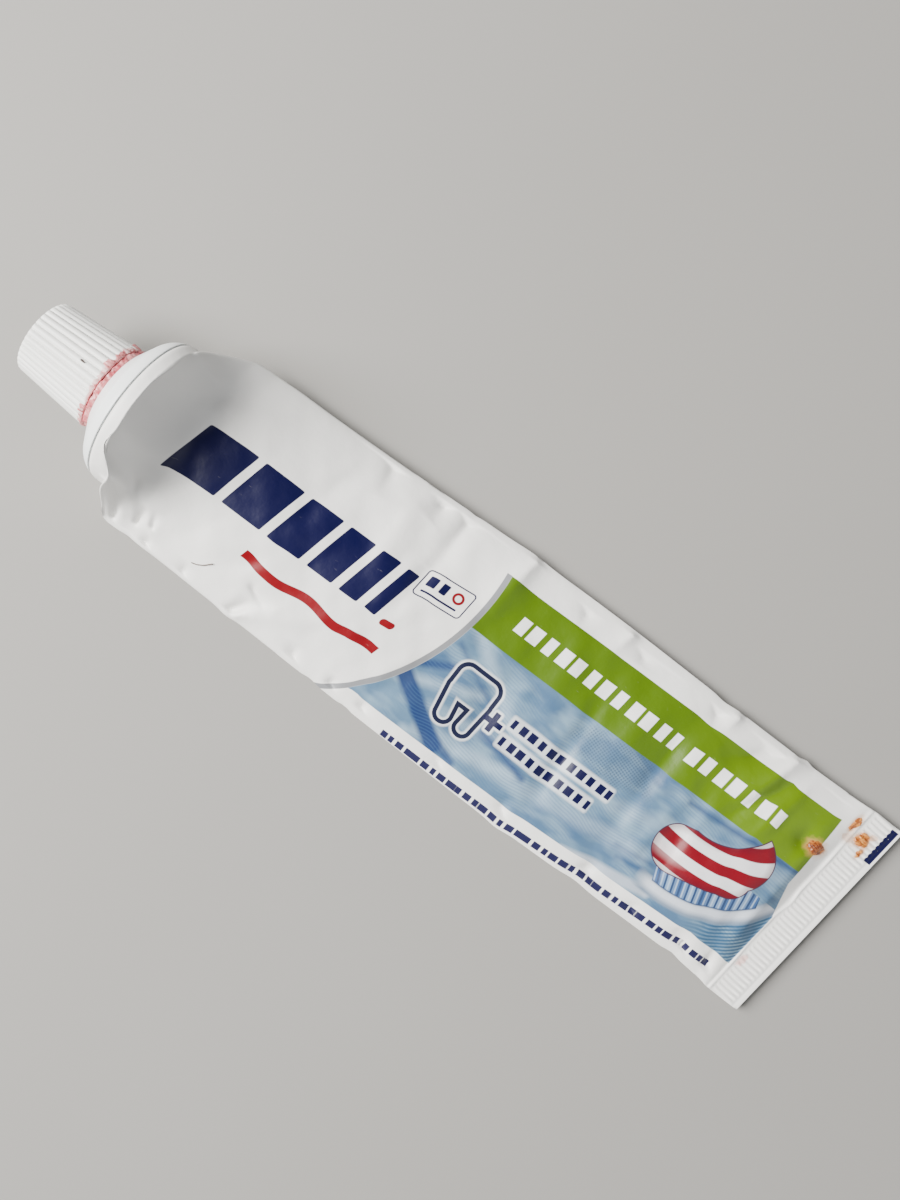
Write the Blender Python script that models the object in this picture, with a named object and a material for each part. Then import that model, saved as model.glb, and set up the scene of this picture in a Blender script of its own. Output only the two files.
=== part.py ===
"""Squeezed toothpaste tube with its screw cap on, lying as it comes to rest.

Metres, +Z up.  +X runs along the tube from the cap to the crimped tail.  The
head's axis is parallel to X at the height of the tube's radius, and the round
rim of the shoulder and the flat underside both rest on the plane z = 0.
"""
import math

import bmesh
import bpy
import numpy as np

MM = 0.001

# Driving dimensions, in metres.
TUBE_RADIUS = 15.0 * MM          # outside of the laminate where it is still round
HALF_LENGTH = 93.0 * MM          # half of the whole, from the cap's end to the tail's long corner
CLEARANCE = 0.3 * MM             # gap kept between pieces that touch

# Cap.
CAP_LENGTH = 15.9 * MM
CAP_RIM_RADIUS = 8.75 * MM
CAP_END_RADIUS = 7.45 * MM
CAP_BORE_RADIUS = 6.9 * MM
CAP_END_WALL = 2.0 * MM
CAP_RIBS = 36
RIB_DEPTH = 0.35 * MM
SEAL_PIN_RADIUS = 2.1 * MM
SEAL_PIN_LENGTH = 3.4 * MM

# Shoulder and neck, one moulding.
NECK_RADIUS = 5.6 * MM
NECK_BORE_RADIUS = 3.9 * MM
NECK_LENGTH = 13.4 * MM
SHOULDER_WALL = 1.2 * MM
SHOULDER_FACE_RADIUS = 9.0 * MM  # flat face round the neck
CORNER_ROUND = 5.2 * MM          # rounding between the shoulder's cone and the tube's side
DOME_ANGLE = 52.0                # degrees of that rounding before the cone
LIP_ANGLE = 15.0                 # degrees of that rounding that the laminate covers
GROOVE_ANGLE = 4.0               # degrees left open between the laminate's edge and the shoulder

# Laminate sleeve.
WALL = 0.45 * MM
CRIMP_LENGTH = 7.2 * MM
TAIL_SLANT = 0.11                # the tail's line leans by this much for each unit across
EDGE_WALL = 1.8                  # wall at a folded edge, as a multiple of WALL
SHEET_STEPS = 20                 # facets across the upper sheet, and as many across the lower
PASTE_GAP = 1.5 * MM             # air between the laminate and the paste left in it

# Stripe insert.
INSERT_RADIUS = 3.55 * MM
INSERT_BORE_RADIUS = 2.5 * MM
INSERT_FLANGE_RADIUS = 6.0 * MM
INSERT_FLANGE = 0.7 * MM
INSERT_HOLES = 6
INSERT_HOLE_RADIUS = 0.55 * MM

CRUST_RADIUS = 8.4 * MM          # outside of the dried paste round the neck's foot

# Places along X that follow from them.
CAP_RIM_X = -HALF_LENGTH + CAP_LENGTH
NECK_FOOT_X = CAP_RIM_X + 1.35 * MM
SHOULDER_INSIDE_X = NECK_FOOT_X + SHOULDER_WALL
FLANGE_X = SHOULDER_INSIDE_X + 0.65 * MM
MOUTH_X = NECK_FOOT_X - NECK_LENGTH
CORNER_X = NECK_FOOT_X + 6.75 * MM
RIDGE_X = CORNER_X + 1.05 * MM
SKIRT_END_X = RIDGE_X - 0.1 * MM
TAIL_X = HALF_LENGTH - TAIL_SLANT * 23.5 * MM
CRIMP_X = TAIL_X - CRIMP_LENGTH
POCKET_END_X = CRIMP_X - 2.6 * MM

# Sections of the sleeve along X, in millimetres: place, low and high edges' y, low and high
# edges' z, top's z, underside's z, roundness (1 is a circle), flatness (1 is a crimp) and
# pinch (how much thinner the low side is than the high one).
SECTIONS = np.array((
    (RIDGE_X / MM, -15.0, 15.0, 15.0, 15.0, 30.0, 0.0, 1.0, 0.0, 0.0),
    (-67.6, -19.6, 15.6, 8.6, 14.4, 29.2, 0.0, 0.9, 0.0, 0.6),
    (-67.1, -21.0, 16.2, 5.8, 13.8, 27.4, 0.0, 0.78, 0.0, 0.9),
    (-65.6, -21.4, 17.4, 5.0, 12.0, 21.8, 0.0, 0.55, 0.0, 0.8),
    (-63.3, -21.4, 18.9, 4.7, 9.2, 16.4, 0.0, 0.3, 0.0, 0.5),
    (-60.7, -21.4, 20.3, 4.5, 6.6, 13.2, 0.0, 0.1, 0.0, 0.2),
    (-56.4, -21.4, 20.9, 4.2, 4.8, 11.5, 0.0, 0.0, 0.0, 0.0),
    (-45.0, -21.7, 21.1, 3.6, 3.6, 10.2, 0.0, 0.0, 0.0, 0.0),
    (-25.0, -22.2, 21.8, 3.0, 3.0, 8.2, 0.0, 0.0, 0.0, 0.0),
    (0.0, -22.8, 23.0, 2.4, 2.4, 5.8, 0.0, 0.0, 0.0, 0.0),
    (25.0, -23.2, 23.4, 2.0, 2.0, 4.2, 0.0, 0.0, 0.0, 0.0),
    (50.0, -22.7, 23.1, 2.2, 2.2, 5.2, 0.0, 0.0, 0.0, 0.0),
    (70.0, -22.5, 23.0, 2.2, 2.2, 5.8, 0.0, 0.0, 0.0, 0.0),
    (78.5, -22.9, 23.2, 2.0, 2.0, 5.2, 0.0, 0.0, 0.0, 0.0),
    (81.0, -23.1, 23.3, 1.9, 1.9, 3.6, 0.7, 0.0, 0.3, 0.0),
    (CRIMP_X / MM, -23.4, 23.4, 1.8, 1.8, 2.25, 1.35, 0.0, 1.0, 0.0),
    (TAIL_X / MM, -23.5, 23.5, 1.8, 1.8, 2.25, 1.35, 0.0, 1.0, 0.0),
)) * np.array((MM, MM, MM, MM, MM, MM, MM, 1.0, 1.0, 1.0))

# Dents pressed into the upper sheet, in millimetres and degrees: centre's x and y,
# half-length, half-width, turn from X, and depth (below zero is a bulge).
DENTS = (
    (-62.9, -12.5, 5.0, 2.8, -62.0, 1.8),
    (-62.3, 10.5, 6.0, 2.4, 38.0, 1.0),
    (-58.4, -17.5, 3.0, 2.2, -70.0, -0.8),
    (-20.0, 9.0, 22.0, 6.0, 8.0, 0.5),
    (12.0, -8.0, 26.0, 6.0, -4.0, 0.4),
    (58.0, 6.0, 14.0, 6.0, 60.0, 0.5),
)

COLOURS = {
    "cap": (0.90, 0.90, 0.88, 1.0),
    "shoulder_nozzle": (0.88, 0.90, 0.90, 1.0),
    "stripe_insert": (0.86, 0.87, 0.86, 1.0),
    "tube_sleeve": (0.82, 0.81, 0.78, 1.0),
    "leftover_paste": (0.90, 0.91, 0.90, 1.0),
    "stripe_paste": (0.60, 0.05, 0.08, 1.0),
    "dried_paste_ring": (0.86, 0.42, 0.42, 1.0),
}


def clear_scene():
    for item in list(bpy.data.objects):
        bpy.data.objects.remove(item, do_unlink=True)


def plain_material(name, roughness):
    material = bpy.data.materials.new(name)
    material.use_nodes = True
    shader = material.node_tree.nodes["Principled BSDF"]
    shader.inputs["Base Color"].default_value = COLOURS[name]
    shader.inputs["Roughness"].default_value = roughness
    shader.inputs["Metallic"].default_value = 0.0
    return material


def new_object(name, bm, roughness, parent):
    """Object from a bmesh, shaded smooth but for its sharp edges, under its empty."""
    bmesh.ops.remove_doubles(bm, verts=bm.verts, dist=1e-7)
    bmesh.ops.recalc_face_normals(bm, faces=bm.faces)
    mesh = bpy.data.meshes.new(name)
    bm.to_mesh(mesh)
    bm.free()
    mesh.shade_smooth()
    mesh.set_sharp_from_angle(angle=math.radians(35.0))
    mesh.materials.append(plain_material(name, roughness))
    item = bpy.data.objects.new(name, mesh)
    bpy.context.collection.objects.link(item)
    item.parent = parent
    return item


def new_empty(name, location, parent=None):
    empty = bpy.data.objects.new(name, None)
    bpy.context.collection.objects.link(empty)
    empty.location = location
    empty.parent = parent
    return empty


def corner_arc(inset, start, stop, steps):
    """Arc of the shoulder's rounded corner as (x, r) points, inset from its outer surface.

    0 degrees is the side of the tube and 90 degrees faces the cap.
    """
    radius = CORNER_ROUND - inset
    center_r = TUBE_RADIUS - CORNER_ROUND
    turns = [math.radians(start + (stop - start) * i / steps) for i in range(steps + 1)]
    return [(CORNER_X - radius * math.sin(t), center_r + radius * math.cos(t)) for t in turns]


def turned(profile, segments, closed):
    """Spin a profile of (x, r) points a full turn about the X axis."""
    bm = bmesh.new()
    verts = [bm.verts.new((x, 0.0, r)) for x, r in profile]
    edges = [bm.edges.new(pair) for pair in zip(verts, verts[1:])]
    if closed:
        edges.append(bm.edges.new((verts[-1], verts[0])))
    bmesh.ops.spin(bm, geom=verts + edges, cent=(0.0, 0.0, 0.0), axis=(1.0, 0.0, 0.0),
                   angle=2.0 * math.pi, steps=segments, use_merge=True, use_duplicate=False)
    return bm


def cut_ribs(bm, segments):
    """Sink every second spoke of the cap's outside, which leaves one rib to each pair."""
    for vert in bm.verts:
        radius = math.hypot(vert.co.y, vert.co.z)
        spoke = round(math.atan2(vert.co.y, vert.co.z) / (2.0 * math.pi / segments))
        if radius > CAP_BORE_RADIUS + RIB_DEPTH and spoke % 2:
            vert.co.y *= (radius - RIB_DEPTH) / radius
            vert.co.z *= (radius - RIB_DEPTH) / radius


def make_cap(parent):
    """Ribbed skirt with a flat end, a plain bore over the neck, and a seal pin.

    The mesh is measured from the middle of the rim, which lies on the slide's axis.
    """
    inner_end = -CAP_LENGTH + CAP_END_WALL
    pin_tip = inner_end + SEAL_PIN_LENGTH
    profile = [
        (-CAP_LENGTH, 0.0),
        (-CAP_LENGTH, CAP_BORE_RADIUS - 0.1 * MM),
        (-CAP_LENGTH + 0.2 * MM, CAP_END_RADIUS - 0.05 * MM),
        (-CAP_LENGTH + 0.8 * MM, CAP_END_RADIUS),
        (-0.3 * MM, CAP_RIM_RADIUS),
        (0.0, CAP_RIM_RADIUS - 0.2 * MM),
        (0.0, CAP_BORE_RADIUS + 0.3 * MM),
        (-0.4 * MM, CAP_BORE_RADIUS),
        (inner_end, CAP_BORE_RADIUS),
        (inner_end, SEAL_PIN_RADIUS),
        (pin_tip - 0.4 * MM, SEAL_PIN_RADIUS),
        (pin_tip, SEAL_PIN_RADIUS - 0.4 * MM),
        (pin_tip, 0.0),
    ]
    segments = 2 * CAP_RIBS
    bm = turned(profile, segments, closed=False)
    bmesh.ops.remove_doubles(bm, verts=bm.verts, dist=1e-7)
    cut_ribs(bm, segments)
    return new_object("cap", bm, 0.45, parent)


def make_shoulder_nozzle(parent):
    """Neck with its bore, flat face, cone, rebate under the laminate's lip, and skirt."""
    covered = LIP_ANGLE + GROOVE_ANGLE
    under_lip = corner_arc(WALL + CLEARANCE, covered, 0.0, 2)
    inside = corner_arc(WALL + CLEARANCE + SHOULDER_WALL, 0.0, DOME_ANGLE, 5)
    profile = [
        (MOUTH_X, NECK_BORE_RADIUS),
        (MOUTH_X, NECK_RADIUS - 0.4 * MM),
        (MOUTH_X + 0.4 * MM, NECK_RADIUS),
        (NECK_FOOT_X, NECK_RADIUS),
        (NECK_FOOT_X, SHOULDER_FACE_RADIUS),
        *corner_arc(0.0, DOME_ANGLE, covered, 7),
        *under_lip,
        (SKIRT_END_X, under_lip[-1][1]),
        (SKIRT_END_X, inside[0][1]),
        *inside,
        (SHOULDER_INSIDE_X, SHOULDER_FACE_RADIUS - 1.7 * MM),
        (SHOULDER_INSIDE_X, NECK_BORE_RADIUS),
    ]
    return new_object("shoulder_nozzle", turned(profile, 48, closed=True), 0.4, parent)


def make_hole_cutter(parent):
    """Small rods that pierce the insert's wall, joined as one hidden cutter."""
    bm = bmesh.new()
    for i in range(INSERT_HOLES):
        turn = 2.0 * math.pi * i / INSERT_HOLES
        ring = bmesh.ops.create_cone(bm, cap_ends=True, segments=8, radius1=INSERT_HOLE_RADIUS,
                                     radius2=INSERT_HOLE_RADIUS, depth=3.0 * MM)["verts"]
        bmesh.ops.translate(bm, verts=ring, vec=(0.0, 0.0, 3.0 * MM))
        for vert in ring:
            y, z = vert.co.y, vert.co.z
            vert.co.y = y * math.cos(turn) - z * math.sin(turn)
            vert.co.z = y * math.sin(turn) + z * math.cos(turn)
    mesh = bpy.data.meshes.new("hole_cutter")
    bm.to_mesh(mesh)
    bm.free()
    cutter = bpy.data.objects.new("hole_cutter", mesh)
    bpy.context.collection.objects.link(cutter)
    cutter.parent = parent
    cutter.location = (SKIRT_END_X - 2.0 * MM, 0.0, 0.0)
    cutter.hide_render = True
    cutter.display_type = "WIRE"
    return cutter


def make_stripe_insert(parent):
    """Narrow tube in the neck, with a flange behind the shoulder and a ring of side holes."""
    start_x = MOUTH_X + 0.6 * MM
    end_x = SKIRT_END_X - CLEARANCE
    profile = [
        (start_x, INSERT_BORE_RADIUS),
        (start_x, INSERT_RADIUS),
        (FLANGE_X, INSERT_RADIUS),
        (FLANGE_X, INSERT_FLANGE_RADIUS),
        (FLANGE_X + INSERT_FLANGE, INSERT_FLANGE_RADIUS),
        (FLANGE_X + INSERT_FLANGE, INSERT_RADIUS),
        (end_x, INSERT_RADIUS),
        (end_x, INSERT_BORE_RADIUS),
    ]
    insert = new_object("stripe_insert", turned(profile, 24, closed=True), 0.4, parent)
    holes = insert.modifiers.new("side_holes", "BOOLEAN")
    holes.operation = "DIFFERENCE"
    holes.solver = "EXACT"
    holes.object = make_hole_cutter(parent)
    return insert


def make_stripe_paste(parent):
    """Coloured paste packed between the insert and the inside of the shoulder."""
    front_x = FLANGE_X + INSERT_FLANGE + CLEARANCE
    back_x = SKIRT_END_X - 2.0 * CLEARANCE
    inner = INSERT_RADIUS + CLEARANCE
    outside = corner_arc(WALL + 2.0 * CLEARANCE + SHOULDER_WALL, 50.0, 0.0, 4)
    profile = [(front_x, inner), *outside, (back_x, outside[-1][1]), (back_x, inner)]
    return new_object("stripe_paste", turned(profile, 32, closed=True), 0.3, parent)


def make_dried_paste_ring(parent):
    """Crust of dried paste round the foot of the neck, between the cap's rim and the shoulder."""
    inner = NECK_RADIUS + CLEARANCE
    profile = [
        (CAP_RIM_X + CLEARANCE, inner),
        (CAP_RIM_X + CLEARANCE, CRUST_RADIUS - CLEARANCE),
        (CAP_RIM_X + 0.7 * MM, CRUST_RADIUS),
        (NECK_FOOT_X - CLEARANCE, CRUST_RADIUS),
        (NECK_FOOT_X - CLEARANCE, inner),
    ]
    return new_object("dried_paste_ring", turned(profile, 40, closed=True), 0.35, parent)


def smooth_values(x, places, values):
    """Monotone cubic through the sections, so that nothing overshoots between two of them."""
    step = np.diff(places)
    rate = np.diff(values, axis=0) / step[:, None]
    slope = np.zeros_like(values)
    total = rate[1:] + rate[:-1]
    same_way = rate[1:] * rate[:-1] > 0.0
    safe_total = np.where(same_way, total, 1.0)
    slope[1:-1] = np.where(same_way, 2.0 * rate[1:] * rate[:-1] / safe_total, 0.0)
    i = int(np.clip(np.searchsorted(places, x) - 1, 0, len(places) - 2))
    t = (x - places[i]) / step[i]
    return (values[i] * (1.0 + 2.0 * t) * (1.0 - t) ** 2 + slope[i] * step[i] * t * (1.0 - t) ** 2
            + values[i + 1] * t * t * (3.0 - 2.0 * t) - slope[i + 1] * step[i] * t * t * (1.0 - t))


def dent_depth(x, y):
    """Depth pressed into the upper sheet at (x, y): a sum of turned Gaussian hollows."""
    total = np.zeros_like(y)
    for center_x, center_y, length, width, turn, depth in DENTS:
        c, s = math.cos(math.radians(turn)), math.sin(math.radians(turn))
        along = (x / MM - center_x) * c + (y / MM - center_y) * s
        aside = (y / MM - center_y) * c - (x / MM - center_x) * s
        total += depth * MM * np.exp(-(along / length) ** 2 - (aside / width) ** 2)
    return total


def sleeve_ring(x, inset):
    """Closed ring of the sleeve at x, inset from its outer surface.

    The upper sheet runs from the high edge to the low one and the lower sheet runs back.
    A round section is a circle, a squeezed one has a domed top over a flat underside,
    and the crimp is flat on both sides.  The ring is sheared along X near the tail.
    """
    low, high, low_z, high_z, top, bottom, roundness, flatness, pinch = smooth_values(
        x, SECTIONS[:, 0], SECTIONS[:, 1:])
    half = (high - low) / 2.0 - inset * (1.0 + (EDGE_WALL - 1.0) * (1.0 - roundness))
    middle = (high + low) / 2.0
    across = np.cos(np.linspace(0.0, math.pi, SHEET_STEPS + 1))
    y = middle + half * across
    edge = low_z + (high_z - low_z) * (across + 1.0) / 2.0
    inside = np.clip(1.0 - across ** 2, 0.0, 1.0)
    full = (inside > 1e-9).astype(float)
    dome = inside ** (0.5 + 0.3 * (1.0 - roundness) + pinch * np.clip(-across, 0.0, 1.0) ** 2)
    dome += (full - dome) * flatness
    shelf = 1.0 - np.clip((np.abs(across) - 0.75) / 0.25, 0.0, 1.0) ** 2
    base = roundness * np.sqrt(inside) + (1.0 - roundness) * shelf
    base += (full - base) * flatness
    lower = edge - (edge - bottom - inset) * base
    upper = edge + (top - inset - edge) * dome
    pressed = dent_depth(x, y) * inside * (1.0 - flatness) * (1.0 - roundness ** 4)
    upper = np.maximum(upper - pressed, np.minimum(upper, lower + (1.6 * MM - 1.5 * inset)))
    lean = TAIL_SLANT * np.clip((x - 74.0 * MM) / (CRIMP_X - 74.0 * MM), 0.0, 1.0)
    top_points = [(x + lean * py, py, pz) for py, pz in zip(y, upper)]
    low_points = [(x + lean * py, py, pz) for py, pz in zip(y[-2:0:-1], lower[-2:0:-1])]
    return top_points + low_points


def lip_rings(inset):
    """Round rings where the sleeve's head end turns in over the shoulder, lip first."""
    count = 2 * SHEET_STEPS
    turns = [2.0 * math.pi * i / count for i in range(count)]
    arc = corner_arc(inset, LIP_ANGLE, 0.0, 2)
    return [[(x, r * math.cos(t), TUBE_RADIUS + r * math.sin(t)) for t in turns] for x, r in arc]


def add_rings(bm, rings, flip):
    """Skin a list of equal rings with quads and give back the rings' vertices."""
    loops = [[bm.verts.new(point) for point in ring] for ring in rings]
    for first, second in zip(loops, loops[1:]):
        count = len(first)
        for i in range(count):
            j = (i + 1) % count
            corners = (first[i], first[j], second[j], second[i])
            bm.faces.new(corners[::-1] if flip else corners)
    return loops


def add_bridge(bm, first, second):
    """Join two rings of vertices with a band of quads."""
    count = len(first)
    for i in range(count):
        j = (i + 1) % count
        bm.faces.new((first[i], first[j], second[j], second[i]))


def close_slit(bm, loop):
    """Close a flattened ring: each facet joins the upper sheet to the lower one."""
    count = len(loop)
    for i in range(SHEET_STEPS):
        corners = [loop[i], loop[i + 1], loop[(count - i - 1) % count], loop[(count - i) % count]]
        kept = [v for k, v in enumerate(corners) if v not in corners[:k]]
        bm.faces.new(kept)


def make_tube_sleeve():
    """Thin laminate sleeve, open at the head and pressed shut at the crimped tail."""
    flare = RIDGE_X + np.array((0.0, 0.35, 0.85, 1.6, 2.4)) * MM
    head = np.concatenate((flare, np.linspace(-64.6 * MM, -56.0 * MM, 8)))
    body = np.linspace(-56.0 * MM, 74.0 * MM, 20)[1:]
    tail = np.array((76.5 * MM, 78.5 * MM, POCKET_END_X))
    crimp = np.array((CRIMP_X - 1.2 * MM, CRIMP_X, TAIL_X))
    outer_x = np.concatenate((head, body, tail, crimp))
    inner_x = np.concatenate((head, body, tail))
    outer = lip_rings(0.0) + [sleeve_ring(x, 0.0) for x in outer_x]
    inner = lip_rings(WALL) + [sleeve_ring(x, WALL) for x in inner_x]
    bm = bmesh.new()
    outside = add_rings(bm, outer, flip=False)
    inside = add_rings(bm, inner, flip=True)
    add_bridge(bm, outside[0], inside[0])
    close_slit(bm, outside[-1])
    close_slit(bm, inside[-1])
    return new_object("tube_sleeve", bm, 0.3, None)


def make_leftover_paste():
    """White paste left behind the shoulder, thinning out towards the squeezed middle."""
    places = np.linspace(RIDGE_X + 0.6 * MM, -28.0 * MM, 24)
    spread = (places - places[0]) / (places[-1] - places[0])
    insets = WALL + PASTE_GAP + 0.5 * MM * spread ** 3
    bm = bmesh.new()
    loops = add_rings(bm, [sleeve_ring(x, inset) for x, inset in zip(places, insets)], flip=False)
    close_slit(bm, loops[0])
    close_slit(bm, loops[-1])
    return new_object("leftover_paste", bm, 0.35, None)


def main():
    clear_scene()
    tube_axis = new_empty("tube_axis", (0.0, 0.0, TUBE_RADIUS))
    cap_slide = new_empty("cap_slide", (CAP_RIM_X, 0.0, 0.0), tube_axis)
    make_cap(cap_slide)
    make_shoulder_nozzle(tube_axis)
    make_stripe_insert(tube_axis)
    make_stripe_paste(tube_axis)
    make_dried_paste_ring(tube_axis)
    make_tube_sleeve()
    make_leftover_paste()


main()
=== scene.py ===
"""Looks of a squeezed toothpaste tube: printed laminate, moulded cap and neck, dried paste."""

import math

import bpy
import numpy as np
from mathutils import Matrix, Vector


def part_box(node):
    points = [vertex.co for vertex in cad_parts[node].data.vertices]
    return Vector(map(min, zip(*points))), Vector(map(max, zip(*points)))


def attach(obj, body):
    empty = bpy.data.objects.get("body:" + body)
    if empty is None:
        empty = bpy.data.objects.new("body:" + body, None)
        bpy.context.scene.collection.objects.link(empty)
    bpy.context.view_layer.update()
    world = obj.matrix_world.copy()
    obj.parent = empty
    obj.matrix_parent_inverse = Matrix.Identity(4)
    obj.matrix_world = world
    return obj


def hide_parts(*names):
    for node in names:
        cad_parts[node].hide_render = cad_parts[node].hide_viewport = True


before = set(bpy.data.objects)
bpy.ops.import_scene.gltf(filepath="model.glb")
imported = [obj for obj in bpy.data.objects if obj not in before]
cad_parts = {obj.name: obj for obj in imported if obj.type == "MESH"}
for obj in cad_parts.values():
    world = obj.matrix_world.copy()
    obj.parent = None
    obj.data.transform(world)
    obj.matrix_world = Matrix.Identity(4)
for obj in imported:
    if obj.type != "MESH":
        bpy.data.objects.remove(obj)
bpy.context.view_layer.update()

MM = 0.001
TURN = 2.0 * math.pi

# Places and sizes read from the frame, in metres.
cap_low, cap_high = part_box("cap")
sleeve_low, sleeve_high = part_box("tube_sleeve")
AXIS_Z = (cap_low.z + cap_high.z) / 2.0
TUBE_RADIUS = (sleeve_high.z - sleeve_low.z) / 2.0
CAP_END_X = cap_low.x
CAP_RIM_X = cap_high.x
CAP_RIM_RADIUS = (cap_high.z - cap_low.z) / 2.0
CAP_END_RADIUS = CAP_RIM_RADIUS - 1.3 * MM
CAP_BORE_RADIUS = 6.9 * MM
CAP_RIBS = 36
MOUTH_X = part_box("shoulder_nozzle")[0].x
NECK_RADIUS = 5.6 * MM
NECK_FOOT_X = CAP_RIM_X + 1.35 * MM
FACE_RADIUS = 9.0 * MM
CORNER_X = NECK_FOOT_X + 6.75 * MM
CORNER_ROUND = 5.2 * MM
RIDGE_X = CORNER_X + 1.05 * MM
DOME_ANGLE = 52.0                # degrees of the shoulder's rounding before its cone
LIP_ANGLE = 15.0                 # degrees of that rounding under the laminate's lip
GROOVE_ANGLE = 4.0               # degrees left open between the lip and the shoulder
WALL = 0.45 * MM
EDGE_WALL = 1.8
TAIL_SLANT = 0.11
TAIL_X = sleeve_high.x - TAIL_SLANT * 23.5 * MM
CRIMP_X = TAIL_X - 7.2 * MM
POCKET_END_X = CRIMP_X - 2.6 * MM
FLAT_WIDTH = math.pi * TUBE_RADIUS
CRIMP_RIBS = 45
SHEET_COLUMNS = 4 * CRIMP_RIBS
HEAD_END_X = -56.0 * MM          # end of the stretch behind the head, whose rows stand closest
BODY_END_X = 76.0 * MM
SLANT_START_X = 74.0 * MM        # from here to the crimp the tail's slant comes in
EMPTY_START_X = -30.0 * MM       # from here on the tube is empty and its sheets nearly meet
EMPTY_FADE = 6.0 * MM
LEAST_GAP = 1.6 * MM             # room that dents leave between the two sheets
RIDGE_REACH = 2.6 * MM           # how far the ridge's buckles run along X
CRUST_RADIUS = 8.6               # millimetres
CAP_RIB_DEPTH = 0.42 * MM

# Crimp, in millimetres from its start: ribs' two ends, rim's groove, and heights.
RIBS_START, RIBS_END, GROOVE_PLACE = 1.1, 5.5, 6.2
RIB_HEIGHT, WELT_HEIGHT, GROOVE_DEPTH = 0.27, 0.34, 0.12

# Sections of the sleeve along X, in millimetres: place, low and high edges' y, low and high
# edges' z, top's z, underside's z, roundness (1 is a circle), flatness (1 is a crimp) and
# pinch (how much thinner the low side is than the high one).
SECTIONS = np.array((
    (RIDGE_X / MM, -15.0, 15.0, 15.0, 15.0, 30.0, 0.0, 1.0, 0.0, 0.0),
    (-67.6, -19.6, 15.6, 8.6, 14.4, 29.2, 0.0, 0.9, 0.0, 0.6),
    (-67.1, -21.0, 16.2, 5.8, 13.8, 27.4, 0.0, 0.78, 0.0, 0.9),
    (-65.6, -21.4, 17.4, 5.0, 12.0, 21.8, 0.0, 0.55, 0.0, 0.8),
    (-63.3, -21.4, 18.9, 4.7, 9.2, 16.4, 0.0, 0.3, 0.0, 0.5),
    (-60.7, -21.4, 20.3, 4.5, 6.6, 13.2, 0.0, 0.1, 0.0, 0.2),
    (-56.4, -21.4, 20.9, 4.2, 4.8, 11.5, 0.0, 0.0, 0.0, 0.0),
    (-45.0, -21.7, 21.1, 3.6, 3.6, 10.2, 0.0, 0.0, 0.0, 0.0),
    (-25.0, -22.2, 21.8, 3.0, 3.0, 8.2, 0.0, 0.0, 0.0, 0.0),
    (0.0, -22.8, 23.0, 2.4, 2.4, 5.8, 0.0, 0.0, 0.0, 0.0),
    (25.0, -23.2, 23.4, 2.0, 2.0, 4.2, 0.0, 0.0, 0.0, 0.0),
    (50.0, -22.7, 23.1, 2.2, 2.2, 5.2, 0.0, 0.0, 0.0, 0.0),
    (70.0, -22.5, 23.0, 2.2, 2.2, 5.8, 0.0, 0.0, 0.0, 0.0),
    (78.5, -22.9, 23.2, 2.0, 2.0, 5.2, 0.0, 0.0, 0.0, 0.0),
    (81.0, -23.1, 23.3, 1.9, 1.9, 3.6, 0.7, 0.0, 0.3, 0.0),
    (CRIMP_X / MM, -23.4, 23.4, 1.8, 1.8, 2.25, 1.35, 0.0, 1.0, 0.0),
    (TAIL_X / MM, -23.5, 23.5, 1.8, 1.8, 2.25, 1.35, 0.0, 1.0, 0.0),
)) * np.array((MM, MM, MM, MM, MM, MM, MM, 1.0, 1.0, 1.0))

# Dents pressed into the upper sheet, in millimetres and degrees: centre's x and y,
# half-length, half-width, turn from X, and depth (below zero is a bulge).
DENTS = (
    (-62.9, -12.5, 5.0, 2.8, -62.0, 1.8),
    (-62.3, 10.5, 6.0, 2.4, 38.0, 1.0),
    (-58.4, -17.5, 3.0, 2.2, -70.0, -0.8),
    (-20.0, 9.0, 22.0, 6.0, 8.0, 0.5),
    (12.0, -8.0, 26.0, 6.0, -4.0, 0.4),
    (58.0, 6.0, 14.0, 6.0, 60.0, 0.5),
    # From here on, softer folds.
    (-65.6, -11.4, 3.0, 1.5, -25.0, 2.4),
    (-66.4, -6.6, 2.2, 1.6, -70.0, -0.6),
    (-65.4, -14.5, 3.4, 1.5, -66.0, -0.9),
    (-63.9, -16.5, 3.4, 1.0, -60.0, 0.9),
    (-61.8, -13.0, 4.5, 1.5, -58.0, -0.7),
    (-60.0, 4.0, 7.0, 3.0, 60.0, 0.5),
    (-52.0, 16.0, 8.0, 2.0, 20.0, 0.35),
    (-42.0, -13.0, 7.0, 1.8, 38.0, 0.4),
    (-34.0, 12.0, 9.0, 2.0, 75.0, 0.35),
    (-27.0, -15.5, 6.0, 1.6, 35.0, -0.4),
    (-20.0, 10.0, 10.0, 2.2, 95.0, -0.35),
    (-11.0, 9.0, 12.0, 1.8, 82.0, 0.4),
    (-4.0, -14.0, 8.0, 1.8, 62.0, 0.4),
    (3.0, 12.0, 9.0, 2.6, 80.0, -0.4),
    (14.0, -6.0, 13.0, 2.4, 85.0, 0.3),
    (22.0, 8.0, 12.0, 2.0, 98.0, -0.3),
    (31.0, -4.0, 15.0, 1.8, 92.0, 0.45),
    (39.0, 6.0, 13.0, 2.2, 80.0, -0.35),
    (47.0, 1.0, 17.0, 2.0, 88.0, 0.5),
    (53.0, -8.0, 10.0, 1.6, 84.0, -0.3),
    (58.0, -5.0, 13.0, 1.6, 95.0, 0.4),
    (66.0, 11.0, 9.0, 1.3, 62.0, 0.55),
    (71.0, 13.0, 8.0, 1.4, 76.0, -0.5),
    (77.4, 11.0, 1.8, 2.4, 0.0, 0.8),
    (76.0, -12.0, 9.0, 1.5, 84.0, 0.35),
)

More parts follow.
